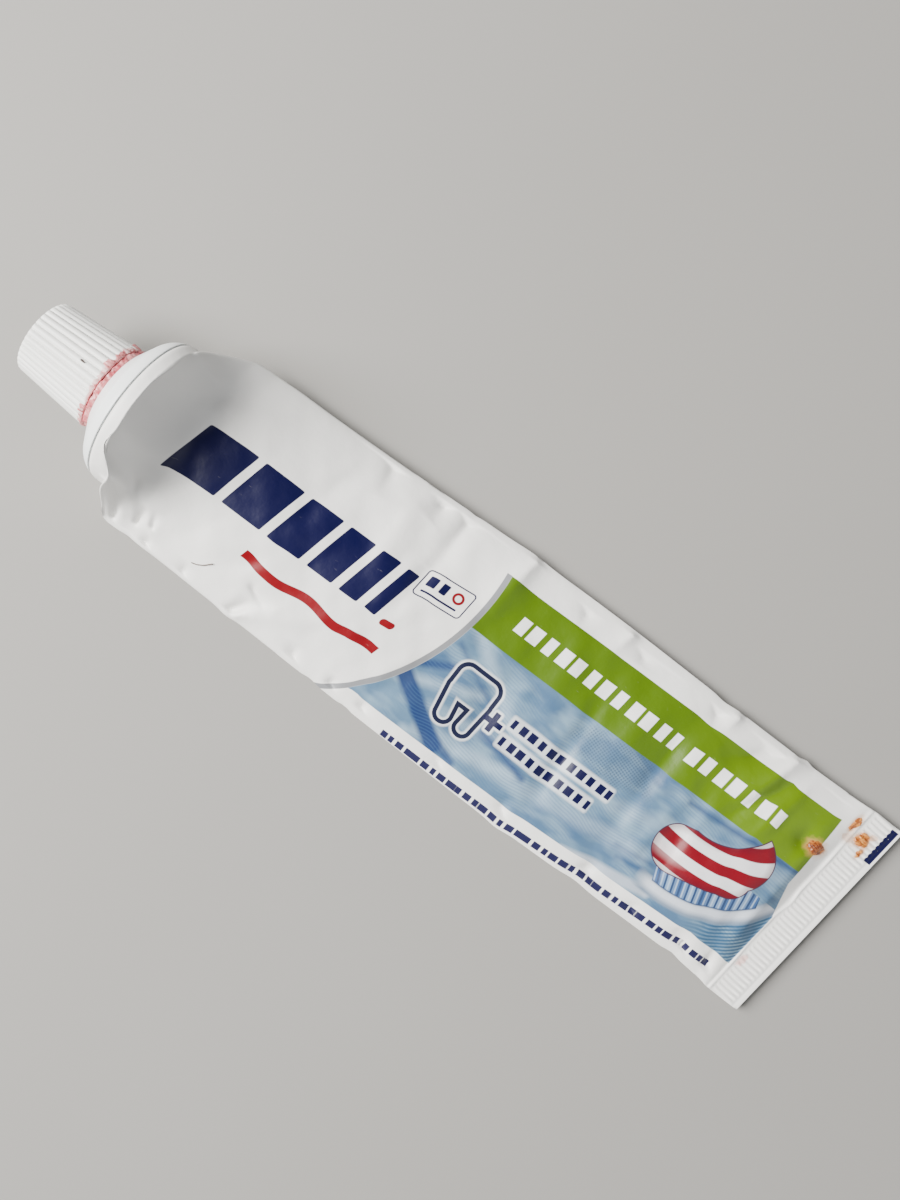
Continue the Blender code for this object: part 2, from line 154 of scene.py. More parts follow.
# Creases in the upper sheet, in millimetres: deep end's x and y, far end's x and y,
# half-width, and depth (below zero is a ridge).  Each fades out towards its far end.
CREASES = (
    (-65.6, -19.6, -64.6, -14.0, 0.55, 1.0),
    (-61.2, -17.8, -60.4, -14.0, 0.45, 0.7),
    (-58.0, -16.6, -58.8, -13.6, 0.45, 0.45),
    (-58.4, -21.4, -57.0, -18.4, 0.6, 0.7),
    (-69.0, 15.0, -61.0, 11.5, 0.9, -0.8),
    (-49.0, -21.6, -48.6, -18.0, 0.6, 0.6),
    (-38.0, -22.0, -34.5, -16.5, 0.6, 0.9),
    (-35.8, -21.0, -27.0, -12.5, 0.9, -0.45),
    (-36.0, -14.5, -30.0, -17.5, 0.6, 0.4),
    (-22.0, -22.4, -23.0, -18.0, 0.5, 0.7),
    (-13.5, -22.6, -13.0, -18.5, 0.5, 0.8),
    (-5.6, -22.6, -5.8, -18.6, 0.5, 0.7),
    (-29.0, 21.8, -27.0, 14.0, 1.2, 0.6),
    (-15.6, 22.4, -17.6, 16.5, 0.8, 0.9),
    (-10.5, 22.6, -11.5, 9.0, 1.2, 0.6),
    (4.5, 23.0, 2.0, 9.0, 1.4, -0.6),
    (18.0, 23.2, 19.0, 17.0, 0.8, 0.5),
    (28.0, 23.2, 25.0, 13.0, 1.2, -0.5),
    (32.0, 23.2, 32.5, 18.5, 0.7, 0.6),
    (50.0, 23.0, 50.5, 17.5, 0.7, 0.8),
    (54.0, 23.0, 52.0, 17.0, 0.8, -0.5),
    (65.5, 23.0, 56.0, 13.0, 1.1, 0.9),
    (68.0, 23.0, 63.0, 8.0, 1.4, -0.7),
    (13.0, -23.0, 12.0, -18.5, 0.6, 0.6),
    (28.5, -23.0, 27.0, -17.0, 0.7, 0.6),
    (47.0, -22.8, 49.0, -16.0, 0.7, 0.7),
    (60.0, -22.5, 59.0, -18.5, 0.6, 0.6),
    (73.0, -22.5, 69.0, -17.0, 0.6, 0.8),
    (79.8, -22.5, 77.0, -14.0, 0.8, 0.7),
)

# Kinks in the folded edges' outline, in millimetres: place along X, half-length, inward shift.
LOW_EDGE_KINKS = ((-61.5, 1.6, 0.25), (-37.5, 2.0, -0.35), (-17.0, 1.4, 0.3), (-8.5, 1.2, 0.3),
                  (29.0, 2.5, -0.35), (47.5, 3.0, 0.35), (71.0, 1.6, 0.35))
HIGH_EDGE_KINKS = ((-56.0, 3.0, 0.2), (-10.5, 1.0, 0.15), (3.0, 4.0, -0.3), (50.0, 2.0, 0.3),
                   (69.5, 1.0, -0.4), (84.5, 2.0, -0.2))

# Buckles of the ridge behind the head, in millimetres: place across, half-width, shift along X.
RIDGE_BUCKLES = ((-12.6, 2.2, 1.9), (-7.8, 2.0, -0.8), (9.5, 3.0, 0.5))

# ---------------------------------------------------------------------------------------
# Shapes


def smooth_values(x, places, values):
    """Monotone cubic through the sections at every x: an array of rows of section values."""
    step = np.diff(places)
    rate = np.diff(values, axis=0) / step[:, None]
    total = rate[1:] + rate[:-1]
    same_way = rate[1:] * rate[:-1] > 0.0
    slope = np.zeros_like(values)
    slope[1:-1] = np.where(same_way, 2.0 * rate[1:] * rate[:-1] / np.where(same_way, total, 1.0), 0.0)
    slope[0] = 0.6 * rate[0]
    i = np.clip(np.searchsorted(places, x) - 1, 0, len(places) - 2)
    t = ((x - places[i]) / step[i])[:, None]
    h = step[i][:, None]
    return (values[i] * (1.0 + 2.0 * t) * (1.0 - t) ** 2 + slope[i] * h * t * (1.0 - t) ** 2
            + values[i + 1] * t * t * (3.0 - 2.0 * t) - slope[i + 1] * h * t * t * (1.0 - t))


def bump_sum(x, kinks):
    """Sum of Gaussian shifts: shift * exp(-((x - place) / length) squared)."""
    return sum(shift * MM * np.exp(-((x / MM - place) / length) ** 2) for place, length, shift in kinks)


def dent_depth(x, y):
    """Sum of turned Gaussian hollows at (x, y), up to twice as deep in the empty part."""
    total = np.zeros_like(y)
    for center_x, center_y, length, width, turn, depth in DENTS:
        c, s = math.cos(math.radians(turn)), math.sin(math.radians(turn))
        along = (x / MM - center_x) * c + (y / MM - center_y) * s
        aside = (y / MM - center_y) * c - (x / MM - center_x) * s
        total += depth * MM * np.exp(-(along / length) ** 2 - (aside / width) ** 2)
    return total * (1.0 + np.clip((x + 50.0 * MM) / (20.0 * MM), 0.0, 1.0))


def crease_depth(x, y):
    """Sum of creases: each is 2 * depth * exp(-(distance / width) to the 1.4) along its own line."""
    total = np.zeros_like(y)
    for x0, y0, x1, y1, width, depth in CREASES:
        dx, dy = x1 - x0, y1 - y0
        along = ((x / MM - x0) * dx + (y / MM - y0) * dy) / (dx * dx + dy * dy)
        held = np.clip(along, 0.0, 1.0)
        distance = np.hypot(x / MM - x0 - held * dx, y / MM - y0 - held * dy)
        spread = width * (1.0 + 1.5 * held)
        total += 2.0 * depth * MM * (1.0 - held ** 2) * np.exp(-(distance / spread) ** 1.4)
    return total


def slack(x, y):
    """Soft unevenness of the slack sheet: four crossed sine waves of 11 to 37 mm."""
    u, v = x / MM, y / MM
    return MM * (0.18 * np.sin(u * 0.17 + v * 0.06 + 0.4) + 0.13 * np.sin(u * 0.29 - v * 0.21 + 2.1)
                 + 0.09 * np.sin(u * 0.44 + v * 0.33 + 4.0) + 0.07 * np.sin(u * 0.61 - v * 0.12)
                 + 0.04 * np.sin(u * 0.93 + v * 0.71 + 1.0) + 0.03 * np.sin(u * 1.21 - v * 0.83 + 3.0))


def even_columns(y, z, columns):
    """Each row's section line resampled to equal steps of its own length."""
    step = np.hypot(np.diff(y, axis=1), np.diff(z, axis=1))
    length = np.concatenate((np.zeros((len(y), 1)), np.cumsum(step, axis=1)), axis=1)
    share = length / length[:, -1:]
    goal = np.linspace(0.0, 1.0, columns + 1)
    even_y = np.array([np.interp(goal, s, row) for s, row in zip(share, y)])
    even_z = np.array([np.interp(goal, s, row) for s, row in zip(share, z)])
    return even_y, even_z


def crowded_rows(start, stop, count):
    """Places along X, up to 3.5 times as close beside a crease as on plain sheet: even steps of
    the running total of 0.4 + a Gaussian about each crease's deep end, held to 1.4."""
    x = np.linspace(start, stop, 2001)
    near = sum(np.exp(-((x / MM - crease[0]) / 1.3) ** 2) for crease in CREASES)
    total = np.cumsum(0.4 + np.minimum(near, 1.0))
    return np.interp(np.linspace(total[0], total[-1], count), total, x)


def sleeve_rows(x, inset):
    """Rings of the sleeve at each x, inset from its outer surface, as an array of points.

    Across a section, c runs from 1 at the high edge to -1 at the low one.  The upper sheet
    is edge + (top - edge) * (1 - c squared) to a power between 0.5, a circle, and 0.8, a
    squeezed dome, and more where the low side is pinched.  The lower sheet is a circle, or
    a flat with rounded sides.  Dents, creases and waves come off the upper sheet, and the
    tail is sheared along X.  An inner ring's upper sheet hangs lower still, and is nearly
    down on the lower one where the tube is empty.
    """
    low, high, low_z, high_z, top, bottom, roundness, flatness, pinch = (
        smooth_values(x, SECTIONS[:, 0], SECTIONS[:, 1:]).T[:, :, None])
    squeezed = 1.0 - roundness
    low = low + bump_sum(x, LOW_EDGE_KINKS)[:, None] * squeezed
    high = high - bump_sum(x, HIGH_EDGE_KINKS)[:, None] * squeezed
    half = (high - low) / 2.0 - inset * (1.0 + (EDGE_WALL - 1.0) * squeezed)
    across = np.cos(np.linspace(0.0, math.pi, 601))[None, :]
    y = (high + low) / 2.0 + half * across
    edge = low_z + (high_z - low_z) * (across + 1.0) / 2.0
    inside = np.clip(1.0 - across ** 2, 0.0, 1.0)
    full = np.clip(inside / 0.002, 0.0, 1.0)
    dome = inside ** (0.5 + 0.3 * squeezed + pinch * np.clip(-across, 0.0, 1.0) ** 2)
    dome = dome + (full - dome) * flatness
    shelf = 1.0 - np.clip((np.abs(across) - 0.75) / 0.25, 0.0, 1.0) ** 2
    base = roundness * np.sqrt(inside) + squeezed * shelf
    base = base + (full - base) * flatness
    upper_y, upper_z = even_columns(y, edge + (top - inset - edge) * dome, SHEET_COLUMNS)
    lower_y, lower_z = even_columns(y, edge - (edge - bottom - inset) * base, SHEET_COLUMNS)
    place = np.repeat(x[:, None], SHEET_COLUMNS + 1, axis=1)
    centre = np.clip(1.0 - ((upper_y - (high + low) / 2.0) * 2.0 / (high - low)) ** 2, 0.0, 1.0)
    free = (1.0 - flatness) * (1.0 - roundness ** 4)
    pressed = dent_depth(place, upper_y) * centre + slack(place, upper_y) * np.sqrt(centre)
    pressed = pressed + crease_depth(place, upper_y) * np.clip(centre * 12.0, 0.15, 1.0)
    floor_z = np.minimum(upper_z, lower_z + LEAST_GAP - 1.5 * inset)
    upper_z = np.maximum(upper_z - pressed * free, floor_z)
    if inset:
        gap = upper_z - lower_z
        collapsed = 0.7 * np.clip((place - EMPTY_START_X) / EMPTY_FADE, 0.0, 1.0)
        upper_z = upper_z - collapsed * gap - np.minimum(0.5 * MM * squeezed, 0.5 * gap)
    lean = TAIL_SLANT * np.clip((place - SLANT_START_X) / (CRIMP_X - SLANT_START_X), 0.0, 1.0)
    near_ridge = np.exp(-((place - RIDGE_X) / RIDGE_REACH) ** 2)
    upper_x = place + lean * upper_y + bump_sum(upper_y, RIDGE_BUCKLES) * near_ridge
    lower_x = place + lean * lower_y + bump_sum(lower_y, RIDGE_BUCKLES) * near_ridge
    upper = np.stack((upper_x, upper_y, upper_z), axis=-1)
    lower = np.stack((lower_x, lower_y, lower_z), axis=-1)
    return np.concatenate((upper[:, :-1], lower[:, :0:-1]), axis=1)


def crimp_teeth(rings, x):
    """Press the crimp's ribs into both sheets: a square-edged wave along the tail's width,
    kept between a raised, slightly bent fold line and a smooth rim with one fine groove."""
    along = (x - CRIMP_X)[:, None] / MM
    column = np.arange(2 * SHEET_COLUMNS)
    across = np.clip(1.0 - 2.0 * (column % SHEET_COLUMNS) / SHEET_COLUMNS, -1.0, 1.0)
    across = np.where(column < SHEET_COLUMNS, across, -across)[None, :]
    outward = np.where(column < SHEET_COLUMNS, 1.0, -1.0)[None, :]
    end = np.minimum(column % SHEET_COLUMNS, SHEET_COLUMNS - column % SHEET_COLUMNS)
    kept = np.clip(end / 4.0, 0.0, 1.0)[None, :]
    wave = np.cos(TURN * (column + 0.5) / 4.0)[None, :]
    band = np.clip((along - RIBS_START) / 0.25, 0.0, 1.0) * np.clip((RIBS_END - along) / 0.25, 0.0, 1.0)
    groove = np.exp(-((along - GROOVE_PLACE) / 0.16) ** 2)
    fold = 0.1 + 0.55 * np.exp(-((across + 0.03) / 0.09) ** 2) + 0.2 * np.sin(across * 5.0)
    welt = np.exp(-((along - fold) / 0.33) ** 2) * (0.8 + 0.2 * np.sin(across * 17.0))
    lift = WELT_HEIGHT * welt - GROOVE_DEPTH * groove
    rings[:, :, 2] += MM * kept * (RIB_HEIGHT * band * wave + lift * outward)
    return rings


def corner_arc(inset, start, stop, steps):
    """Arc of the shoulder's rounded corner as x and r arrays; 0 degrees is the tube's side."""
    radius = CORNER_ROUND - inset
    turn = np.radians(np.linspace(start, stop, steps + 1))
    return CORNER_X - radius * np.sin(turn), TUBE_RADIUS - CORNER_ROUND + radius * np.cos(turn)


def about_axis(x, r, turn):
    """Points at x and radius r, turned about the head's axis, from arrays that broadcast."""
    return np.stack(np.broadcast_arrays(x, r * np.cos(turn), AXIS_Z + r * np.sin(turn)), axis=-1)


def even_turns(columns):
    """Angles of even steps round the axis, as one row."""
    return TURN * np.arange(columns)[None, :] / columns


def round_rings(x, r, columns):
    """Circles about the head's axis: one of radius r at each x."""
    return about_axis(x[:, None], r[:, None], even_turns(columns))


def closed_volume(points, faces):
    """Signed volume of a closed quad mesh: the sum of its triangles' tetrahedra."""
    a, b, c, d = (points[faces[:, k]] for k in range(4))
    return (np.einsum("ij,ij->i", a, np.cross(b, c)) + np.einsum("ij,ij->i", a, np.cross(c, d))).sum()


def add_piece(name, points, faces, material, uv=None, sharp=40.0):
    """Object from an array of points and quads, where a repeated corner makes a triangle."""
    if closed_volume(points, faces) < 0.0:
        faces = faces[:, ::-1]
        uv = None if uv is None else uv[:, ::-1]
    mesh = bpy.data.meshes.new(name)
    same = faces == np.roll(faces, -1, axis=1)
    kept = [face[~dup].tolist() for face, dup in zip(faces, same)] if same.any() else faces.tolist()
    mesh.from_pydata(points.tolist(), [], kept)
    if uv is not None:
        layer = mesh.uv_layers.new(name="laminate")
        layer.data.foreach_set("uv", uv[~same].astype(np.float32).ravel())
    mesh.shade_smooth()
    mesh.set_sharp_from_angle(angle=math.radians(sharp))
    mesh.materials.append(material)
    item = bpy.data.objects.new(name, mesh)
    bpy.context.scene.collection.objects.link(item)
    return item


def ring_faces(rows, columns):
    """Quads of a grid of rings that each close on themselves."""
    i = np.arange(rows - 1)[:, None] * columns
    j = np.arange(columns)[None, :]
    k = (j + 1) % columns
    return np.stack((i + j, i + k, i + columns + k, i + columns + j), axis=-1).reshape(-1, 4)


def torus_faces(rows, columns):
    """Quads of a grid of rings whose last ring meets its first."""
    faces = ring_faces(rows + 1, columns)
    return np.where(faces >= rows * columns, faces - rows * columns, faces)


def capped_faces(rows, columns):
    """Quads of a grid of rings, and fans from its first and last rings to the two points that
    follow the grid's own."""
    j = np.arange(columns)
    k = (j + 1) % columns
    last = (rows - 1) * columns
    start_point = np.full(columns, rows * columns)
    end_point = start_point + 1
    return np.concatenate((ring_faces(rows, columns),
                           np.stack((k, j, start_point, start_point), axis=-1),
                           np.stack((last + j, last + k, end_point, end_point), axis=-1)))


def slit_faces(first, columns, flip):
    """Quads that close a flattened ring, joining its upper sheet to its lower one."""
    k = np.arange(columns // 2)
    faces = first + np.stack((k, k + 1, columns - k - 1, (columns - k) % columns), axis=-1)
    return faces[:, ::-1] if flip else faces


def turned_piece(name, x, r, columns, material, shift, closed):
    """Turned body from a profile of x and r; shift(x, r, turn) adds to r at each point.

    A closed profile meets itself.  An open one starts and ends on the axis, where its ring
    is drawn together to one point.
    """
    x, r, turn = x[:, None], r[:, None], even_turns(columns)
    points = about_axis(x, r + shift(x, r, turn), turn).reshape(-1, 3)
    faces = torus_faces(len(x), columns) if closed else ring_faces(len(x), columns)
    if not closed:
        first = np.arange(len(points)) < columns
        last = np.arange(len(points)) >= len(points) - columns
        faces = np.where(first[faces], 0, np.where(last[faces], len(points) - columns, faces))
        used = np.unique(faces)
        order = np.zeros(len(points), int)
        order[used] = np.arange(len(used))
        points, faces = points[used], order[faces]
    return add_piece(name, points, faces, material)


def stepped_profile(corners, step):
    """Points along straight runs between (x, r) corners, a step apart, with every corner kept."""
    xs, rs = [], []
    for (x0, r0), (x1, r1) in zip(corners, corners[1:]):
        count = max(1, int(round(math.hypot(x1 - x0, r1 - r0) / step)))
        share = np.arange(count) / count
        xs.extend(x0 + (x1 - x0) * share)
        rs.extend(r0 + (r1 - r0) * share)
    return np.array(xs + [corners[-1][0]]), np.array(rs + [corners[-1][1]])


# ---------------------------------------------------------------------------------------
# Materials


class Field:
    """A number at each point of a surface, whose operators add Math nodes to its material."""

    def __init__(self, tree, socket):
        self.tree = tree
        self.socket = socket

    def math(self, operation, other=None, clamp=False):
        node = self.tree.nodes.new("ShaderNodeMath")
        node.operation = operation
        node.use_clamp = clamp
        self.tree.links.new(self.socket, node.inputs[0])
        if isinstance(other, Field):
            self.tree.links.new(other.socket, node.inputs[1])
        elif other is not None:
            node.inputs[1].default_value = other
        return Field(self.tree, node.outputs[0])

    def __add__(self, other):
        return self.math("ADD", other)

    def __sub__(self, other):
        return self.math("SUBTRACT", other)

    def __mul__(self, other):
        return self.math("MULTIPLY", other)

    def __truediv__(self, other):
        return self.math("DIVIDE", other)

    def less_from(self, number):
        return self * -1.0 + number

    def abs(self):
        return self.math("ABSOLUTE")

    def sin(self):
        return self.math("SINE")

    def part(self):
        """What is left over above the whole number below."""
        return self.math("FRACT")

    def most(self, other):
        return self.math("MAXIMUM", other)

    def least(self, other):
        return self.math("MINIMUM", other)

    def below(self, limit, soft):
        """1 where this is under the limit, 0 over it, with a soft step between."""
        if isinstance(limit, Field):
            return ((limit - self) / soft).math("ADD", 0.5, clamp=True)
        return (self * (-1.0 / soft)).math("ADD", limit / soft + 0.5, clamp=True)

    def above(self, limit, soft):
        return self.below(limit, soft).less_from(1.0)


def length(a, b):
    """Distance of (a, b) from the origin."""
    return (a * a + b * b).math("SQRT")


def set_inputs(node, **inputs):
    """Set a node's named inputs, or link them where the value is a socket or Field."""
    for name, value in inputs.items():
        socket = node.inputs[name.replace("_", " ")]
        if isinstance(value, Field):
            value = value.socket
        if isinstance(value, bpy.types.NodeSocket):
            node.id_data.links.new(value, socket)
        else:
            socket.default_value = value


def add_node(tree, kind, **inputs):
    node = tree.nodes.new(kind)
    set_inputs(node, **inputs)
    return node


def new_material(name):
    """New material, its node tree and its shader."""
    material = bpy.data.materials.new(name)
    material.use_nodes = True
    return material, material.node_tree, material.node_tree.nodes["Principled BSDF"]


def blend_colour(tree, mask, under, over):
    """Colour socket: over where the mask is 1, under where it is 0."""
    node = tree.nodes.new("ShaderNodeMix")
    node.data_type = "RGBA"
    for slot, item in ((0, mask), (6, under), (7, over)):
        if isinstance(item, Field):
            tree.links.new(item.socket, node.inputs[slot])
        elif isinstance(item, bpy.types.NodeSocket):
            tree.links.new(item, node.inputs[slot])
        elif slot:
            node.inputs[slot].default_value = (*item, 1.0)
        else:
            node.inputs[slot].default_value = item
    return node.outputs[2]


def object_place(tree, scale):
    """Object coordinates times a scale, as a vector socket."""
    place = tree.nodes.new("ShaderNodeTexCoord")
    return add_node(tree, "ShaderNodeMapping", Vector=place.outputs["Object"], Scale=scale).outputs[0]


def noise(tree, scale, detail=3.0, stretch=(1.0, 1.0, 1.0), roughness=0.5, vector=None):
    """Noise of a scale per metre on Object coordinates, as a Field between 0 and 1."""
    place = vector or object_place(tree, stretch)
    node = add_node(tree, "ShaderNodeTexNoise", Vector=place, Scale=scale, Detail=detail,
                    Roughness=roughness)
    return Field(tree, node.outputs[0])


def bump(tree, height, distance, strength=1.0, under=None):
    """Normal socket bent by a height in 0 to 1, which stands for the distance in metres."""
    node = add_node(tree, "ShaderNodeBump", Height=height, Distance=distance, Strength=strength)
    if under is not None:
        set_inputs(node, Normal=under)
    return node.outputs[0]


def moulded_plastic(name, colour, roughness, dirt_colour, dirt_amount):
    """Moulded polypropylene: faint flow mottling, a pebbled skin, scuffs and a little dirt."""
    material, tree, shader = new_material(name)
    mottle = noise(tree, 260.0, 3.0)
    dirt = noise(tree, 620.0, 6.0, roughness=0.65).above(dirt_amount, 0.06)
    shaded = blend_colour(tree, mottle, tuple(c * 0.95 for c in colour), colour)
    painted = blend_colour(tree, dirt * 0.6, shaded, dirt_colour)
    rough = noise(tree, 900.0, 4.0) * 0.14 + (roughness - 0.07)
    grain = bump(tree, noise(tree, 5200.0, 2.0), 0.02 * MM, 0.5)
    scratch = noise(tree, 900.0, 3.0, stretch=(0.25, 3.0, 3.0))
    set_inputs(shader, Base_Color=painted, Roughness=rough, Normal=bump(tree, scratch, 0.03 * MM, 0.4, grain),
               Subsurface_Weight=0.12, Subsurface_Radius=(1.0, 0.95, 0.9), Subsurface_Scale=1.0 * MM)
    return material, tree, shader, painted


def cap_material():
    """White ribbed cap: moulded plastic with pink paste dried near its rim, and a dark fleck."""
    material, tree, shader, base = moulded_plastic(
        "cap_white_plastic", (0.83, 0.83, 0.80), 0.42, (0.62, 0.56, 0.48), 0.74)
    place = tree.nodes.new("ShaderNodeTexCoord")
    parts = add_node(tree, "ShaderNodeSeparateXYZ", Vector=place.outputs["Object"])
    along = Field(tree, parts.outputs[0])
    patch = noise(tree, 330.0, 4.0, roughness=0.6) * 4.2 * MM
    near_rim = (along.less_from(CAP_RIM_X) + 1.35 * MM).below(patch, 0.25 * MM)
    pink = blend_colour(tree, noise(tree, 1500.0, 3.0), (0.70, 0.42, 0.40), (0.52, 0.18, 0.19))
    smeared = blend_colour(tree, near_rim * 0.75, base, pink)
    aside, above = Field(tree, parts.outputs[1]), Field(tree, parts.outputs[2])
    fleck = length((along + 81.6 * MM) / (0.8 * MM), (aside - 0.9 * MM) / (0.28 * MM))
    fleck = (fleck + noise(tree, 2600.0, 2.0)).below(1.3, 0.3).least(above.above(AXIS_Z, MM))
    set_inputs(shader, Base_Color=blend_colour(tree, fleck, smeared, (0.05, 0.035, 0.03)))
    return material


def paste_material(name, light, dark, roughness, scale=700.0):
    """Paste or crust: two shades in soft clots, a lumpy skin and a thin wet coat."""
    material, tree, shader = new_material(name)
    clot = noise(tree, scale, 4.0, roughness=0.6)
    deep = noise(tree, scale * 2.3, 3.0).above(0.62, 0.12)
    colour = blend_colour(tree, clot.above(0.5, 0.25), light, dark)
    colour = blend_colour(tree, deep * 0.6, colour, tuple(c * 0.55 for c in dark))
    set_inputs(shader, Base_Color=colour, Roughness=clot * 0.3 + (roughness - 0.15),
               Normal=bump(tree, noise(tree, scale * 3.0, 3.0), 0.08 * MM, 0.7),
               Subsurface_Weight=0.3, Subsurface_Radius=(1.0, 0.6, 0.5), Subsurface_Scale=0.6 * MM,
               Coat_Weight=0.25, Coat_Roughness=0.25)
    return material


class Print:
    """Printed fields on the flat laminate, in millimetres: u along the tube, v across it."""

    SOFT = 0.12

    def __init__(self, tree):
        self.tree = tree
        layer = self.tree.nodes.new("ShaderNodeUVMap")
        layer.uv_map = "laminate"
        parts = add_node(self.tree, "ShaderNodeSeparateXYZ", Vector=layer.outputs[0])
        self.u = Field(self.tree, parts.outputs[0]) * 100.0
        self.v = Field(self.tree, parts.outputs[1]) * 100.0
        self.place = add_node(self.tree, "ShaderNodeCombineXYZ", X=self.u, Y=self.v).outputs[0]
        self.colour = (0.80, 0.79, 0.765)

    def noise(self, scale, detail=3.0, stretch=(1.0, 1.0, 1.0), turn=0.0):
        """Noise of a scale per millimetre on the laminate, between 0 and 1."""
        mapping = add_node(self.tree, "ShaderNodeMapping", Vector=self.place, Scale=stretch,
                           Rotation=(0.0, 0.0, math.radians(turn)))
        return noise(self.tree, scale, detail, vector=mapping.outputs[0])

    def paint(self, mask, colour):
        self.colour = blend_colour(self.tree, mask, self.colour, colour)

    def mix(self, mask, under, over):
        return blend_colour(self.tree, mask, under, over)

    def from_box(self, u, v, half_u, half_v, rounded=0.0, slant=0.0, turn=0.0):
        """Distance outside a rounded, slanted, turned rectangle, below zero inside it."""
        du, dv = self.u - u, self.v - v
        if turn:
            c, s = math.cos(math.radians(turn)), math.sin(math.radians(turn))
            du, dv = du * c + dv * s, dv * c - du * s
        if slant:
            du = du - dv * slant
        aside = du.abs() - (half_u - rounded)
        above = dv.abs() - (half_v - rounded)
        inner = aside.most(above).least(0.0)
        return length(aside.most(0.0), above.most(0.0)) + inner - rounded

    def bar(self, u, v, half_u, half_v, rounded=0.0, slant=0.0, turn=0.0, soft=SOFT):
        """Mask of a rounded, slanted, turned rectangle."""
        return self.from_box(u, v, half_u, half_v, rounded, slant, turn).below(0.0, soft)

    def ring(self, u, v, radius, half_width, soft=SOFT):
        return (length(self.u - u, self.v - v) - radius).abs().below(half_width, soft)

    def between(self, field, low, high, soft=SOFT):
        return field.above(low, soft).least(field.below(high, soft))

    def over_blue_edge(self):
        """Height of v over the parabola that the blue field's lower edge follows."""
        return self.v - self.u * self.u * 0.00036 - self.u * 0.0022

    def before_crimp(self):
        """Mask of the front's printed length, which ends a little later on its lower half."""
        return (self.u - self.v.below(-1.5, 7.0) * 2.7).below(80.3, 0.15)

    def wave(self, field, pitch, phase=0.0):
        return (field * (TURN / pitch) + phase).sin()

    def dashes(self, u0, u1, v, half_v, pitch, phase, slant=0.0):
        """Row of dashes of uneven width: where a sine wave and a slower one add up to enough."""
        across = self.v - v
        along = self.u - across * slant if slant else self.u
        rhythm = self.wave(along, pitch, phase) + self.wave(along, pitch * 2.618, 2.0 * phase) * 0.35
        row = across.abs().below(half_v, self.SOFT).least(self.between(along, u0, u1))
        return rhythm.above(-0.45, 0.2).least(row)


# Print, in millimetres: u along the tube from its middle, v across it from the front's middle.
ARC_CENTRE = (-43.9, 12.2)
ARC_RADIUS = 46.4
ARC_STROKE = 1.1
ARC_START_U = -16.0
BAND_LOW, BAND_HIGH = 4.5, 17.15
BAND_RISE = 0.013                # slope of the band's upper edge
BLUE_LOW = -19.6                 # the blue field's lower edge at u = 0, which then curves up
BRUSH_CENTRE = (60.3, 10.6)      # centre of the brush head's curve
BARS_START_U = -61.0
BAR_WIDTHS = (10.6, 8.8, 7.4, 5.8, 4.2, 2.6)
BAR_GAP = 1.7

NAVY = (0.0004, 0.0006, 0.032)
RED = (0.17, 0.0, 0.004)
GREEN = (0.066, 0.130, 0.0)
WHITE = (0.84, 0.84, 0.82)
GREY = (0.20, 0.205, 0.215)
PALE_BLUE = (0.105, 0.190, 0.275)
DEEP_BLUE = (0.030, 0.075, 0.160)


